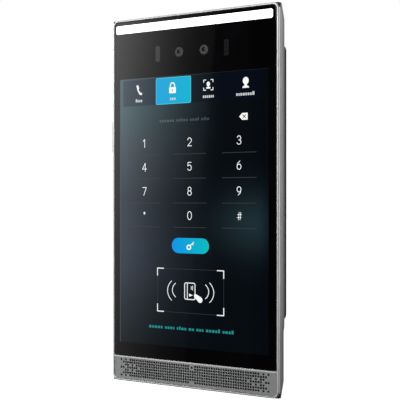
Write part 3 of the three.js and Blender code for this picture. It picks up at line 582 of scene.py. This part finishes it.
# A stroke of even width along points, with round ends
def stroke(points, width, closed=False):
    half = width / 2
    shapes = []
    pairs = list(zip(points, points[1:])) + ([(points[-1], points[0])] if closed else [])
    for (x0, z0), (x1, z1) in pairs:
        length = math.hypot(x1 - x0, z1 - z0)
        if length < 1e-6:
            continue
        nx, nz = -(z1 - z0) / length * half, (x1 - x0) / length * half
        shapes.append([(x0 + nx, z0 + nz), (x0 - nx, z0 - nz),
                       (x1 - nx, z1 - nz), (x1 + nx, z1 + nz)])
    for x, z in points:
        shapes.append(disc(x, z, half, half, 10))
    return shapes


def bar(x0, x1, z0, z1, radius):
    return roundedRect(x0, x1, z0, z1, min(radius, (x1 - x0) / 2.01, (z1 - z0) / 2.01), 4)


def panelShape(look, radius, steps=4):
    return roundedRect(look["left"], look["right"], look["bottom"], look["top"], radius, steps)


# Light strip, lens windows and lamp windows in the top of the glass
strip = boxOf("light_bar")
stripWindow = bar(strip["x0"], strip["x1"] - 0.9, strip["z0"], strip["z1"], 1.2)
lens = {"outer": 3.0, "inner": 1.4, "aside": 0.25, "glint": 1.0, "waneBy": 0.28, "waneAside": 0.12}
lamp = {"width": 3.3, "height": 10.0, "radius": 0.9, "bead": 0.9, "beadPitch": 2.6}


def stripPaint(name):
    paint = Paint(name)
    x = paint.axis(paint.place(), 0)
    pitch = (strip["x1"] - strip["x0"]) / 16
    beads = paint.node("ShaderNodeMath", {"operation": "PINGPONG"}, {0: x, 1: pitch / 2})
    glow = paint.span(beads, 0, pitch / 2, 0.94, 1.0)
    shade = paint.blend(glow, (0.86, 0.9, 0.95), (1, 1, 1))
    frost = paint.noise(paint.place(), 4, 2)
    return paint.finish(Base_Color=(0.8, 0.8, 0.8), Emission_Color=shade, Emission_Strength=1.6,
                        Roughness=0.25 + 0.1 * frost)


glassShapes("lightStrip", [stripWindow], 0.03, stripPaint("lightStrip"))


def windowPaint(name, colour, rough, bend=usualBend):
    paint = Paint(name)
    grain = paint.noise(paint.place(), 5, 2)
    shade = paint.blend(grain, colour, [c * 0.7 for c in colour])
    return paint.finish(Base_Color=shade, Roughness=rough + 0.1 * grain, IOR=bend)


for name, *look in (("lensRing", (0.042, 0.043, 0.045), 0.3),
                    ("lensBarrel", (0.002, 0.002, 0.0025), 0.04),
                    ("lampBead", (0.009, 0.009, 0.01), 0.03, 1.8),
                    ("lensGlint", (0.075, 0.077, 0.08), 0.3),
                    ("lampWindow", (0.015, 0.015, 0.016), 0.03, 1.8)):
    paints[name] = windowPaint(name, *look)


# A part of a window, named after its paint and its side
def windowShape(name, suffix, outline, lift):
    glassShapes(name + suffix, [outline], lift, name)


for side in ("left", "right"):
    suffix = side.capitalize()
    cx, cz = middleOf(boxOf("camera_lens_" + side))
    outer, inner, aside, glint = lens["outer"], lens["inner"], lens["aside"], lens["glint"]
    # The lighter crescent inside each lens is a painted highlight. The lens ring itself is real and
    # grey, but the dark barrel is moved up and to the left so the ring shows wider at its lower
    # right, which paints more of that highlight.
    windowShape("lensRing", suffix, disc(cx, cz, outer, outer, 36), 0.01)
    windowShape("lensBarrel", suffix, disc(cx - aside, cz + aside, inner, inner, 36), 0.02)
    wane, shift = glint - lens["waneBy"], lens["waneAside"]
    crescent = arc(cx, cz, glint, glint, -20, 80, 10)
    crescent += reversed(arc(cx - shift, cz - shift, wane, wane, -10, 70, 10))
    windowShape("lensGlint", suffix, crescent, 0.03)
    cx, cz = middleOf(boxOf("infrared_lamp_" + side))
    w, h, bead = lamp["width"] / 2, lamp["height"] / 2, lamp["bead"]
    windowShape("lampWindow", suffix, bar(cx - w, cx + w, cz - h, cz + h, lamp["radius"]), 0.01)
    for i in range(3):
        drop = (i - 1) * lamp["beadPitch"]
        windowShape("lampBead", "%s%d" % (suffix, i + 1), disc(cx, cz + drop, bead, bead), 0.02)

# Screen picture
screen = {"left": -53.7, "right": 54.6, "top": 79.3, "bottom": -93.0, "edge": 0.35, "offset": -0.8,
          "tabLeft": -52.0, "tabRight": 50.2, "tabTop": 78.4, "tabBottom": 61.5}


# Everything the screen shows sits a little left of the middle
def screenShapes(name, shapes, lift, paint):
    moved = [[(x + screen["offset"], z) for x, z in outline] for outline in shapes]
    glassShapes(name, moved, lift, paint)


def picturePaint(name):
    paint = Paint(name)
    where = paint.place()
    x = paint.axis(where, 0)
    z = paint.axis(where, 2)
    cloud = (paint.noise(where, 0.02, 3) - 0.5) * 12
    stops = [(0.0, (0.004, 0.008, 0.01)), (0.157, (0.0134, 0.021, 0.029)),
             (0.267, (0.026, 0.036, 0.054)), (0.372, (0.029, 0.042, 0.062)),
             (0.547, (0.025, 0.038, 0.054)), (0.727, (0.046, 0.069, 0.085)),
             (0.872, (0.057, 0.105, 0.125)), (1.0, (0.06, 0.11, 0.13))]
    height = paint.span(z, screen["bottom"], screen["top"], shape="LINEAR")
    wash = paint.node("ShaderNodeValToRGB", {"stops": stops}, {0: height})
    glow = paint.span(x + cloud, 24, -52.5, shape="LINEAR") ** 1.7
    shade = paint.blend(glow, (0.0006, 0.002, 0.0032), wash)
    dx, dz = (x - 46) / 19, (z + 14) / 13
    shade = paint.blend((dx * dx + dz * dz).fade(), shade, (0.0105, 0.024, 0.0295), "ADD")
    tabs = (z > screen["tabBottom"]) * (z < screen["tabTop"])
    tabs = tabs * (x > screen["tabLeft"]) * (x < screen["tabRight"])
    band = paint.blend(glow, (0.0004, 0.0022, 0.006), (0.03, 0.053, 0.078))
    shade = paint.blend(tabs, shade, band)
    shade = paint.blend(paint.span(x, 46, 55) * 0.6, shade, (0.0008, 0.0012, 0.0016))
    return paint.finish(Base_Color=(0.002, 0.002, 0.003), Emission_Color=shade,
                        Emission_Strength=1.0, Roughness=0.03 + 0.03 * paint.noise(where, 0.6, 2))


screenShapes("screenPicture", [panelShape(screen, 0.3)], 0.01, picturePaint("screenPicture"))
glow = {"from": (-54, 20), "left": (0.075, 0.095, 0.11), "right": (0.004, 0.006, 0.008)}
litPaint("edgeGlow", None, glow)
topEdge = dict(screen, bottom=screen["top"] - screen["edge"])
leftEdge = dict(screen, right=screen["left"] + screen["edge"])
screenShapes("screenEdge", [panelShape(topEdge, 0.1), panelShape(leftEdge, 0.1)], 0.02, "edgeGlow")

# Keypad figures, drawn as strokes in a box 2 wide and 2 high about their own centre
figures = {
    "0": [(disc(0, 0, 0.72, 0.95), True)],
    "1": [([(-0.45, 0.55), (0.1, 0.95), (0.1, -0.95)], False)],
    "2": [(arc(0, 0.38, 0.66, 0.57, 170, -35, 12) + [(-0.68, -0.92), (0.72, -0.92)], False)],
    "3": [(arc(-0.02, 0.47, 0.6, 0.48, 160, -90, 12)
           + arc(-0.02, -0.45, 0.68, 0.5, 90, -160, 12), False)],
    "4": [([(0.3, -0.95), (0.3, 0.95), (-0.75, -0.42), (0.78, -0.42)], False)],
    "5": [([(0.6, 0.92), (-0.5, 0.92), (-0.6, 0.08)]
           + arc(-0.02, -0.32, 0.68, 0.62, 130, -155, 14), False)],
    "6": [(disc(0.0, -0.33, 0.66, 0.6), True),
          ([(-0.62, -0.2), (-0.45, 0.45), (0.28, 0.96)], False)],
    "7": [([(-0.7, 0.92), (0.72, 0.92), (-0.25, -0.95)], False)],
    "8": [(disc(0, 0.48, 0.54, 0.46), True), (disc(0, -0.46, 0.66, 0.5), True)],
    "9": [(disc(0.0, 0.33, 0.66, 0.6), True),
          ([(0.62, 0.2), (0.45, -0.45), (-0.28, -0.96)], False)],
    "*": [([(0, 0.42), (0, -0.42)], False), ([(-0.4, 0.22), (0.4, -0.22)], False),
          ([(-0.4, -0.22), (0.4, 0.22)], False)],
    "#": [([(-0.2, -0.85), (0.05, 0.85)], False), ([(0.35, -0.85), (0.6, 0.85)], False),
          ([(-0.5, 0.32), (0.82, 0.32)], False), ([(-0.62, -0.32), (0.7, -0.32)], False)],
}
keypad = {"columns": (-34.5, -0.5, 34.6), "rows": (36.8, 21.4, 5.8, -9.6),
          "keys": ("123", "456", "789", "*0#"), "width": 4.1, "height": 5.4, "line": 0.44,
          "starSize": 0.74, "starLift": 1.3, "thinner": 0.8, "lineDrop": 7.5, "lineThick": 0.17,
          "lineHalf": (12.2, 12.2, 11.9)}

digits, lines = [], []
for row, z in enumerate(keypad["rows"]):
    for column, x in enumerate(keypad["columns"]):
        key = keypad["keys"][row][column]
        small, lift = (keypad["starSize"], keypad["starLift"]) if key == "*" else (1.0, 0.0)
        wide, tall = keypad["width"] / 2 * small, keypad["height"] / 2 * small
        for points, closed in figures[key]:
            moved = [(x + px * wide, z + lift + pz * tall) for px, pz in points]
            digits += stroke(moved, keypad["line"] * (keypad["thinner"] if key in "*#" else 1.0),
                             closed)
        half, base = keypad["lineHalf"][column], z - keypad["lineDrop"]
        lines.append(bar(x - half, x + half, base - keypad["lineThick"],
                         base + keypad["lineThick"], 0.1))
litPaint("litWhite", (0.98, 1.0, 1.0))
litPaint("litLine", (0.042, 0.047, 0.052))
litPaint("litBright", (1.0, 1.0, 1.0))
screenShapes("keypadFigures", digits, 0.04, "litWhite")
screenShapes("keypadLines", lines, 0.03, "litLine")
print("keypad made")

# Tabs, the unlock pill and their symbols
tab = {"left": -25.5, "right": 0.4, "top": 78.3, "bottom": 61.6, "radius": 0.8}
pill = {"left": -13.6, "right": 13.6, "top": -23.8, "bottom": -33.5, "radius": 4.84}
glow = {"from": (tab["left"], tab["right"]),
        "left": (0.001, 0.36, 0.7), "right": (0.004, 0.46, 0.63)}
litPaint("tabBlue", None, glow)
glow = {"from": (pill["left"], pill["right"]),
        "left": (0.0, 0.29, 0.8), "right": (0.002, 0.52, 0.48)}
litPaint("pillBlue", None, glow)
litPaint("tabBorder", (0.08, 0.62, 0.85))
tabShape = panelShape(tab, tab["radius"])
screenShapes("tabSelected", [tabShape], 0.03, "tabBlue")
screenShapes("unlockPill", [panelShape(pill, pill["radius"], 10)], 0.03, "pillBlue")
screenShapes("tabBorder", stroke(tabShape, 0.35, True), 0.04, "tabBorder")

symbols = []
# handset
symbols += stroke([(-39.4, 73.6)] + arc(-35.6, 73.4, 4.2, 4.4, 165, 240, 8), 0.95)
symbols += stroke([(-40.0, 74.2), (-39.3, 73.0)], 1.5) + stroke([(-38.0, 69.5), (-37.0, 69.1)], 1.5)
# padlock
symbols += [bar(-15.6, -10.6, 68.2, 72.0, 0.4)]
symbols += stroke([(-14.7, 72.0)] + arc(-13.1, 73.2, 1.6, 1.6, 180, 0, 10) + [(-11.5, 72.0)], 0.75)
# face in brackets
for sx in (-1, 1):
    for sz in (-1, 1):
        cx, cz = 13.1 + sx * 3.3, 71.8 + sz * 3.2
        symbols += stroke([(cx, cz - sz * 1.45), (cx, cz), (cx - sx * 1.45, cz)], 0.48)
symbols += [disc(13.1, 72.4, 1.2, 1.5), bar(12.6, 13.6, 70.2, 71.6, 0.2),
            bar(11.5, 14.7, 69.5, 70.5, 0.5)]
# person
symbols += [disc(39.2, 72.7, 2.0, 2.3), bar(38.4, 40.0, 69.2, 71.4, 0.2),
            [(36.9, 68.4), (41.5, 68.4), (41.2, 69.3), (39.9, 69.9), (38.5, 69.9), (37.2, 69.3)]]
# backspace
symbols += [[(34.8, 51.1), (36.7, 53.2), (40.5, 53.2), (40.5, 49.0), (36.7, 49.0)]]
# key on the pill
symbols += stroke(disc(-1.0, -29.6, 1.3, 1.3), 0.8, True)
symbols += stroke([(-0.1, -28.7), (2.5, -26.4)], 0.6) + stroke([(1.4, -27.3), (2.2, -28.1)], 0.5)
screenShapes("tabSymbols", symbols, 0.05, "litBright")
litPaint("cutDark", (0.006, 0.007, 0.01))
cross = stroke([(37.2, 50.1), (39.2, 52.1)], 0.5) + stroke([(39.2, 50.1), (37.2, 52.1)], 0.5)
screenShapes("backspaceCross", cross, 0.06, "cutDark")
litPaint("cutBlue", (0.008, 0.4, 0.65))
keyhole = [arc(-13.1, 70.3, 0.55, 0.55, 0, 345, 15), bar(-13.3, -12.9, 69.2, 70.2, 0.1)]
screenShapes("keyhole", keyhole, 0.06, "cutBlue")


# Rows of small plain blocks stand where the screen has words
wordLook = {"gap": 0.36, "space": 1.25, "radius": 0.12}


def blockWords(centre, z, words, width, height):
    blocks = []
    shares = [[random.choice((0.62, 0.8, 0.8, 1.0)) for i in range(n)] for n in words]
    gap, space = width * wordLook["gap"], width * wordLook["space"]
    unit = sum(sum(word) for word in shares)
    spare = width * sum(words)
    x = centre - (spare + gap * (sum(words) - len(words)) + space * (len(words) - 1)) / 2
    for word in shares:
        for share in word:
            wide = spare * share / unit
            tall = height * random.choice((0.7, 0.7, 0.72, 1.0))
            base = z - height / 2
            blocks.append(bar(x, x + wide, base, base + tall, wordLook["radius"]))
            x += wide + gap
        x += space - gap
    return blocks


labels = blockWords(-38.8, 64.9, [4], 0.98, 2.2) + blockWords(-12.9, 64.9, [3], 1.12, 2.1)
labels += blockWords(13.1, 64.9, [6], 1.0, 2.2) + blockWords(38.9, 64.9, [8], 1.18, 2.2)
litPaint("litLabel", (0.6, 0.62, 0.64))
litPaint("litTeal", (0.012, 0.26, 0.27))
glow = {"from": (-25, 16), "left": (0.085, 0.115, 0.13), "right": (0.035, 0.052, 0.06)}
litPaint("litPrompt", None, glow)
screenShapes("tabLabels", labels, 0.05, "litLabel")
screenShapes("hintLine", blockWords(0.0, -81.0, [5, 4, 4, 2, 3, 5, 4], 1.48, 2.2), 0.05, "litTeal")
screenShapes("promptLine", blockWords(-4.6, 51.0, [6, 5, 4, 3], 1.36, 2.0), 0.05, "litPrompt")

# Card reader sign
card = {"left": -24.4, "right": 24.0, "top": -43.5, "bottom": -71.1, "arm": 4.6, "line": 0.6,
        "clear": 5.6, "faint": 0.22, "middle": 0.1, "wave": 0.46}
signs = []
for x, sx in ((card["left"], 1), (card["right"], -1)):
    for z, sz in ((card["top"], -1), (card["bottom"], 1)):
        arm = [(x, z + sz * card["arm"]), (x, z), (x + sx * card["arm"], z)]
        signs += stroke(arm, card["line"])
waves = ((-4.0, -57.5, 12.9, 9.5, 140, 220, 14), (-3.4, -57.0, 9.9, 6.8, 140, 220, 12))
for sx in (-1, 1):
    for wave in waves:
        points = [(card["middle"] + sx * abs(px), pz) for px, pz in arc(*wave)]
        signs += stroke(points, card["wave"])
signs += stroke(roundedRect(-4.1, 3.5, -62.4, -52.1, 1.0, 4), 0.55, True)
signs += stroke([(-2.1, -52.2), (-2.1, -62.3)], 0.5)
signs += stroke([(0.8, -54.2), (0.8, -56.0)], 0.4) + stroke([(1.8, -53.8), (1.8, -56.4)], 0.4)
signs += [[(-0.8, -58.7), (1.9, -59.7), (-0.8, -60.7)]]
hand = [(2.7, -59.2), (4.4, -58.9), (8.4, -61.0), (9.1, -62.5), (7.9, -64.2), (6.2, -64.0),
        (4.6, -62.2), (3.1, -61.4)]
signs += [easeCorners(hand, 0.5)]
screenShapes("cardSign", signs, 0.05, "litWhite")
faint = []
for z in (card["top"], card["bottom"]):
    faint += stroke([(card["left"] + card["clear"], z), (card["right"] - card["clear"], z)],
                    card["faint"])
for x in (card["left"], card["right"]):
    faint += stroke([(x, card["top"] - card["clear"]), (x, card["bottom"] + card["clear"])],
                    card["faint"])
screenShapes("cardOutline", faint, 0.04, "litLine")
print("screen made")

# Speaker grille: a thin punched sheet; sixteen points make a square hole with cut corners
grille = boxOf("speaker_grille")
holes = {"pitch": 1.7, "columns": 64, "rows": 7, "half": 0.66, "top": -104.6, "ease": 0.04,
         "mic": 0.7, "sides": 16, "sheet": 0.2, "edge": 0.12}
closedFromEnd = {0: (1, 3), 1: (0,), 2: (0, 1, 4, 6), 3: (2, 8)}


def isOpen(column, row):
    fromEnd = min(column, holes["columns"] - 1 - column)
    fromTop = min(row, holes["rows"] - 1 - row)
    if fromEnd in closedFromEnd.get(fromTop, ()):
        return False
    return not (fromEnd == holes["columns"] // 2 - 1 and row in (0, 1, 6))


def squareRing(cx, cz, half):
    ring = []
    for i in range(holes["sides"]):
        a = 2 * math.pi * (i + 0.5) / holes["sides"]
        c, s = math.cos(a), math.sin(a)
        reach = half / max(abs(c), abs(s))
        ring.append((cx + c * reach, cz + s * reach))
    return ring


def flatPatch(mesh, x0, x1, z0, z1):
    outline = ((x0, z0), (x1, z0), (x1, z1), (x0, z1))
    mesh.faces.new([mesh.verts.new(at(x, grille["front"], z)) for x, z in outline])


def punch(mesh, cx, cz, half, radius):
    front, e = grille["front"], holes["ease"]
    profile = ((half, front), (radius + e, front), (radius + e * 0.3, front + e * 0.3),
               (radius, front + e), (radius, front + holes["sheet"]))
    made = loft(mesh, [[at(x, d, z) for x, z in squareRing(cx, cz, r)] for r, d in profile])
    # the square's corners lie between ring points, so each is filled with a triangle
    for sx, sz in ((1, 1), (-1, 1), (-1, -1), (1, -1)):
        tip = mesh.verts.new(at(cx + sx * half, front, cz + sz * half))
        nearest = sorted(made[0], key=lambda v: (v.co - tip.co).length)[:2]
        mesh.faces.new((tip, *nearest))


def buildGrille(mesh):
    p, e = holes["pitch"], holes["edge"]
    half, middle = p / 2, holes["columns"] // 2
    left = -middle * p
    top = holes["top"] + half
    bottom = top - holes["rows"] * p
    for row in range(holes["rows"]):
        for column in range(holes["columns"]):
            cx, cz = left + (column + 0.5) * p, top - (row + 0.5) * p
            if isOpen(column, row):
                punch(mesh, cx, cz, half, holes["half"])
            elif not (row < 2 and column in (middle - 1, middle)):
                flatPatch(mesh, cx - half, cx + half, cz - half, cz + half)
    # the cells round the microphone hole are one larger cell
    punch(mesh, 0, top - p, p, holes["mic"])
    x0, x1, z0, z1 = grille["x0"] + e, grille["x1"] - e, grille["z0"] + e, grille["z1"] - e
    flatPatch(mesh, x0, left, z0, z1)
    flatPatch(mesh, -left, x1, z0, z1)
    flatPatch(mesh, left, -left, top, z1)
    flatPatch(mesh, left, -left, z0, bottom)
    front = grille["front"]
    carry(mesh, dict(grille, radius=0.02, steps=1),
          [(e, front), (e * 0.3, front + e * 0.3), (0, front + e), (0, grille["back"])])


piece("speakerGrille", buildGrille, "unit", "grilleAluminium",
      ["speaker_grille"])

# Black dust cloth glued to the back of the punched sheet
cloth = {"inset": 0.4, "edge": 0.05, "radius": 0.1}


def buildCloth(mesh):
    c = cloth["inset"]
    solidBlock(mesh, grille["x0"] + c, grille["x1"] - c, grille["front"] + holes["sheet"],
               grille["back"], grille["z0"] + c, grille["z1"] - c, cloth["edge"], cloth["radius"])


piece("grilleCloth", buildCloth, "unit", "darkMesh")
print("grille made")

# Side housing: a shell with rounded rear edges, sloped ends and a thinner lower part
shell = {"round": 2.0, "bulge": 0.8, "slope": 9.0, "drop": 3.8, "step": 1.05, "stepTop": -76.5,
         "stepBottom": -79.5, "edge": 0.12, "near": 0.35}
shellBox = boxOf("side_housing")


def shellBack(z):
    full = shellBox["back"]
    if z < shell["stepTop"]:
        share = min(1.0, (shell["stepTop"] - z) / (shell["stepTop"] - shell["stepBottom"]))
        full -= shell["step"] * share
    reach = min(shellBox["z1"] - z, z - shellBox["z0"])
    if reach < shell["slope"]:
        full -= shell["drop"] * (1 - reach / shell["slope"])
    return full


def shellSection(z):
    x1, front = shellBox["x1"], shellBox["front"]
    back, r = shellBack(z), shell["round"]
    side = [(x1, front + shell["edge"])]
    steps = 6
    for i in range(1, steps):
        t = i / steps
        side.append((x1 - shell["bulge"] * t * t, front + (back - r - front) * t))
    inner = x1 - shell["bulge"]
    side += [(inner - r + r * math.cos(a), back - r + r * math.sin(a)) for a in
             [math.radians(d) for d in range(0, 91, 10)]]
    section = [(x1 - shell["edge"], front)] + side
    return section + [(-x, d) for x, d in reversed(section)]


def buildShell(mesh):
    z0, z1, slope = shellBox["z0"], shellBox["z1"], shell["slope"]
    bends = (z0 + slope, z1 - slope, shell["stepTop"], shell["stepBottom"])
    stations = {z0, z1, *bends}
    stations |= {z + aside for z in bends for aside in (-shell["near"], shell["near"])}
    stations |= {z1 - slope * i / 6 for i in range(6)} | {z0 + slope * i / 6 for i in range(6)}
    stations |= {z0 + (z1 - z0) * i / 24 for i in range(25)}
    rings = [[at(x, d, z) for x, d in shellSection(z)] for z in sorted(stations)]
    loft(mesh, rings, capStart=True, capEnd=True)


housing = piece("sideHousing", buildShell, "unit", "wallAluminium",
                ["side_housing"])
port = boxOf("service_socket")
portHole = {"gap": 0.3, "radius": 0.8, "from": -62, "to": -50}


def buildPortHole(mesh):
    gap = portHole["gap"]
    ring = roundedRect(port["front"] - gap, port["back"] + gap, port["z0"] - gap, port["z1"] + gap,
                       portHole["radius"], 4)
    rings = [[at(x, d, z) for d, z in ring] for x in (portHole["from"], portHole["to"])]
    loft(mesh, rings, capStart=True, capEnd=True)


cutOut(housing, buildPortHole)

# The housing is hollow and open to the front, with a window to the rear box in its back wall
hollow = {"half": boxOf("chassis_plate")["x1"] + 0.3, "wall": 1.6, "back": 1.5, "window": 44.0,
          "windowTop": 20.5, "windowBottom": 8.5, "past": 1}
rearBox = boxOf("rear_box")


def crossSection(half, back, z):
    front = shellBox["front"] - hollow["past"]
    return [at(x, d, z) for x, d in ((-half, front), (half, front), (half, back), (-half, back))]


def buildHollow(mesh):
    z0, z1 = shellBox["z0"] + hollow["wall"], shellBox["z1"] - hollow["wall"]
    stations = [z0, shellBox["z0"] + shell["slope"], shell["stepBottom"], shell["stepTop"],
                shellBox["z1"] - shell["slope"], z1]
    rings = [crossSection(hollow["half"], shellBack(z) - hollow["back"], z) for z in stations]
    loft(mesh, rings, capStart=True, capEnd=True)


def buildWindow(mesh):
    ends = (rearBox["z0"] + hollow["windowBottom"], rearBox["z1"] - hollow["windowTop"])
    back = shellBox["back"] + hollow["past"]
    loft(mesh, [crossSection(hollow["window"], back, z) for z in ends], capStart=True, capEnd=True)


cutOut(housing, buildHollow)
cutOut(housing, buildWindow)
print("housing made")


# Screws with a six-lobed drive
screws = {"recess": 0.62, "lobe": 0.12, "height": 1.35, "shank": 1.2,
          "heads": {"housing": 2.15, "cover": 2.45}}
security = {"head": 2.6, "height": 2.0, "shank": 1.45}


def screwProfile(head, height, shank, length):
    r, lobe = head * screws["recess"], screws["lobe"]
    return [(0.01, -length), (shank * 0.7, -length), (shank, -length + 0.8), (shank, 0), (head, 0),
            (head, height * 0.45), (head * 0.93, height * 0.75), (head * 0.8, height * 0.95),
            (head * 0.7, height), (r, height, lobe), (r * 0.97, height - 0.1, lobe),
            (r * 0.9, height * 0.35, lobe), (0.01, height * 0.25)]


def backward(x, depth, z):
    return Matrix.Translation(at(x, depth, z)) @ Matrix.Rotation(-math.pi / 2, 4, "X")


for kind, head in screws["heads"].items():
    for i in range(1, 5):
        node = "%s_screw_%d" % (kind, i)
        b = boxOf(node)
        cx, cz = middleOf(b)
        under = b["back"] - screws["height"]
        profile = screwProfile(head, screws["height"], screws["shank"], under - b["front"])
        where = backward(cx, under, cz)
        piece("%sScrew%d" % (kind, i), lambda mesh: turn(mesh, profile, where), "unit",
              "platedSteel", [node])

b = boxOf("security_screw")
upright = Matrix.Translation(at(0, (b["front"] + b["back"]) / 2, b["z0"] + security["height"]))
downward = upright @ Matrix.Rotation(math.pi, 4, "X")
profile = screwProfile(security["head"], security["height"], security["shank"],
                       b["z1"] - b["z0"] - security["height"])
piece("securityScrew", lambda mesh: turn(mesh, profile, downward), "bracket", "platedSteel",
      ["security_screw"])
print("screws made")

# Finishes of the other pieces of the frame
nodePaints = {
    "boxPlastic": "rear_box",
    "innerPlastic": "camera_module_left camera_module_right lock_relay network_jack tamper_switch "
                    "reset_switch speaker_frame infrared_lamp_left infrared_lamp_right",
    "paleCap": "port_cover tamper_plunger reset_button",
    "sealRubber": "frame_seal glass_gasket speaker_gasket cover_seal port_seal microphone_boot",
    "darkMesh": "acoustic_mesh speaker_cone",
    "coilCopper": "voice_coil",
    "shieldSteel": "processor_shield heat_spreader service_socket clock_battery speaker_magnet "
                   "microphone chassis_plate",
    "platedSteel": "board_screw_1 board_screw_2 board_screw_3 board_screw_4",
    "bracketSteel": "wall_bracket",
    "terminalGreen": "power_terminal lock_terminal",
    "circuitBoard": "main_board camera_board led_board",
    "amberFilm": "display_flex reader_antenna",
    "frostedWhite": "light_bar backlight_unit",
    "clearFilm": "touch_sensor lcd_panel",
    "lensGlass": "camera_lens_left camera_lens_right",
}
for paint, names in nodePaints.items():
    for name in names.split():
        for slot in nodes[name].material_slots:
            slot.material = paints[paint]
print("frame finishes set")

# Camera
view = {"right": 286.2, "ahead": 484.7, "height": 0.2, "turn": 30.0, "lens": 80.55}
camera = bpy.data.objects.new("camera", bpy.data.cameras.new("camera"))
camera.data.lens = view["lens"]
camera.data.sensor_width = 36
camera.data.clip_start = 0.01
camera.location = (view["right"] * mm, frontY - view["ahead"] * mm, view["height"] * mm)
camera.rotation_euler = (math.radians(90), 0, math.radians(view["turn"]))
scene.collection.objects.link(camera)
scene.camera = camera

# Pale floor well below the unit
floorSize = {"half": 40.0, "height": -0.9, "inner": 0.02, "sides": 64}
floorMesh = bmesh.new()
angles = [2 * math.pi * i / floorSize["sides"] for i in range(floorSize["sides"])]
reaches = [floorSize["half"] * share for share in (floorSize["inner"], 1.0)]
loft(floorMesh, [[Vector((r * math.cos(a), r * math.sin(a), floorSize["height"])) for a in angles]
                 for r in reaches], capStart=True)
floor = addObject("floor", floorMesh)
floorPaint = Paint("floor")
speckle = floorPaint.noise(floorPaint.place(), 0.004, 2)
floor.data.materials.append(floorPaint.finish(
    Base_Color=(0.9, 0.9, 0.9), Roughness=0.7 + 0.1 * speckle, Emission_Color=(1, 1, 1),
    Emission_Strength=0.9))
floor.visible_glossy = False
floor.visible_diffuse = False


# Studio lights
def softLight(name, place, target, width, height, power):
    data = bpy.data.lights.new(name, "AREA")
    data.shape = "RECTANGLE"
    data.size, data.size_y = width, height
    data.energy = power
    made = bpy.data.objects.new(name, data)
    made.location = place
    made.rotation_euler = (Vector(target) - Vector(place)).to_track_quat("-Z", "Y").to_euler()
    scene.collection.objects.link(made)


softLight("key", (0.15, -1.6, 0.68), (0, 0, -0.08), 0.9, 0.5, 21)
softLight("overhead", (-0.6, 0.2, 1.2), (0, 0, 0), 0.8, 0.8, 0.2)
softLight("frontRight", (1.5, -1.0, 0.05), (0, 0, 0), 0.7, 1.3, 1.4)
softLight("sideRight", (0.9, 1.1, 0.3), (0, 0, 0), 0.7, 1.2, 3)
softLight("backLeft", (-0.9, 1.0, 0.5), (0, 0, 0), 0.8, 0.8, 8)
softLight("backTop", (0.2, 1.0, 1.0), (0, 0, 0), 0.8, 0.8, 5)


# A large soft panel at the front left, brighter to its far side, which the glass reflects
panel = {"near": -0.7, "far": -2.6, "ahead": -1.5, "low": -1.2, "high": 1.6, "shine": 2.15,
         "dim": (-420, 440), "start": -890, "lean": 90, "fade": 300}


def softPanel():
    mesh = bmesh.new()
    near, far, low, high = panel["near"], panel["far"], panel["low"], panel["high"]
    outline = ((near, low), (far, low), (far, high), (near, high))
    mesh.faces.new([mesh.verts.new((x, panel["ahead"], z)) for x, z in outline])
    made = addObject("softPanel", mesh)
    paint = Paint("softPanel")
    where = paint.place()
    x, z = paint.axis(where, 0), paint.axis(where, 2)
    rise = paint.span(z, *panel["dim"], shape="LINEAR")
    start = panel["start"] + panel["lean"] * rise
    across = paint.span((start - x) / panel["fade"], 0, 1, shape="LINEAR")
    level = (0.04 * (across > 0.001) + 0.96 * across * across) * (0.36 + 0.64 * rise)
    glow = paint.blend(level, (0, 0, 0), (1, 1, 1))
    made.data.materials.append(paint.finish(Base_Color=(0, 0, 0), Emission_Color=glow,
                                            Emission_Strength=panel["shine"]))
    made.visible_camera = False


softPanel()

# Surroundings: white to the eye, dim for light and reflections
world = bpy.data.worlds.new("studio")
scene.world = world
world.use_nodes = True
sky = Paint("studio", world.node_tree)
background = world.node_tree.nodes["Background"]
seen = sky.node("ShaderNodeLightPath")
direction = sky.node("ShaderNodeTexCoord")
dy = sky.axis(direction, 1)
dz = sky.axis(direction, 2)
ahead = sky.span(dy, -0.7, 0.1)
level = ahead * sky.span(dz, -0.5, 0.8, 0.2, 1.0) * 0.38
dim = sky.blend(level, (0, 0, 0), (1, 1, 1))
sky.feed(background.inputs["Color"], sky.blend(seen, dim, (1, 1, 1)))
scene.view_settings.view_transform = "Standard"
print("camera and lights set")
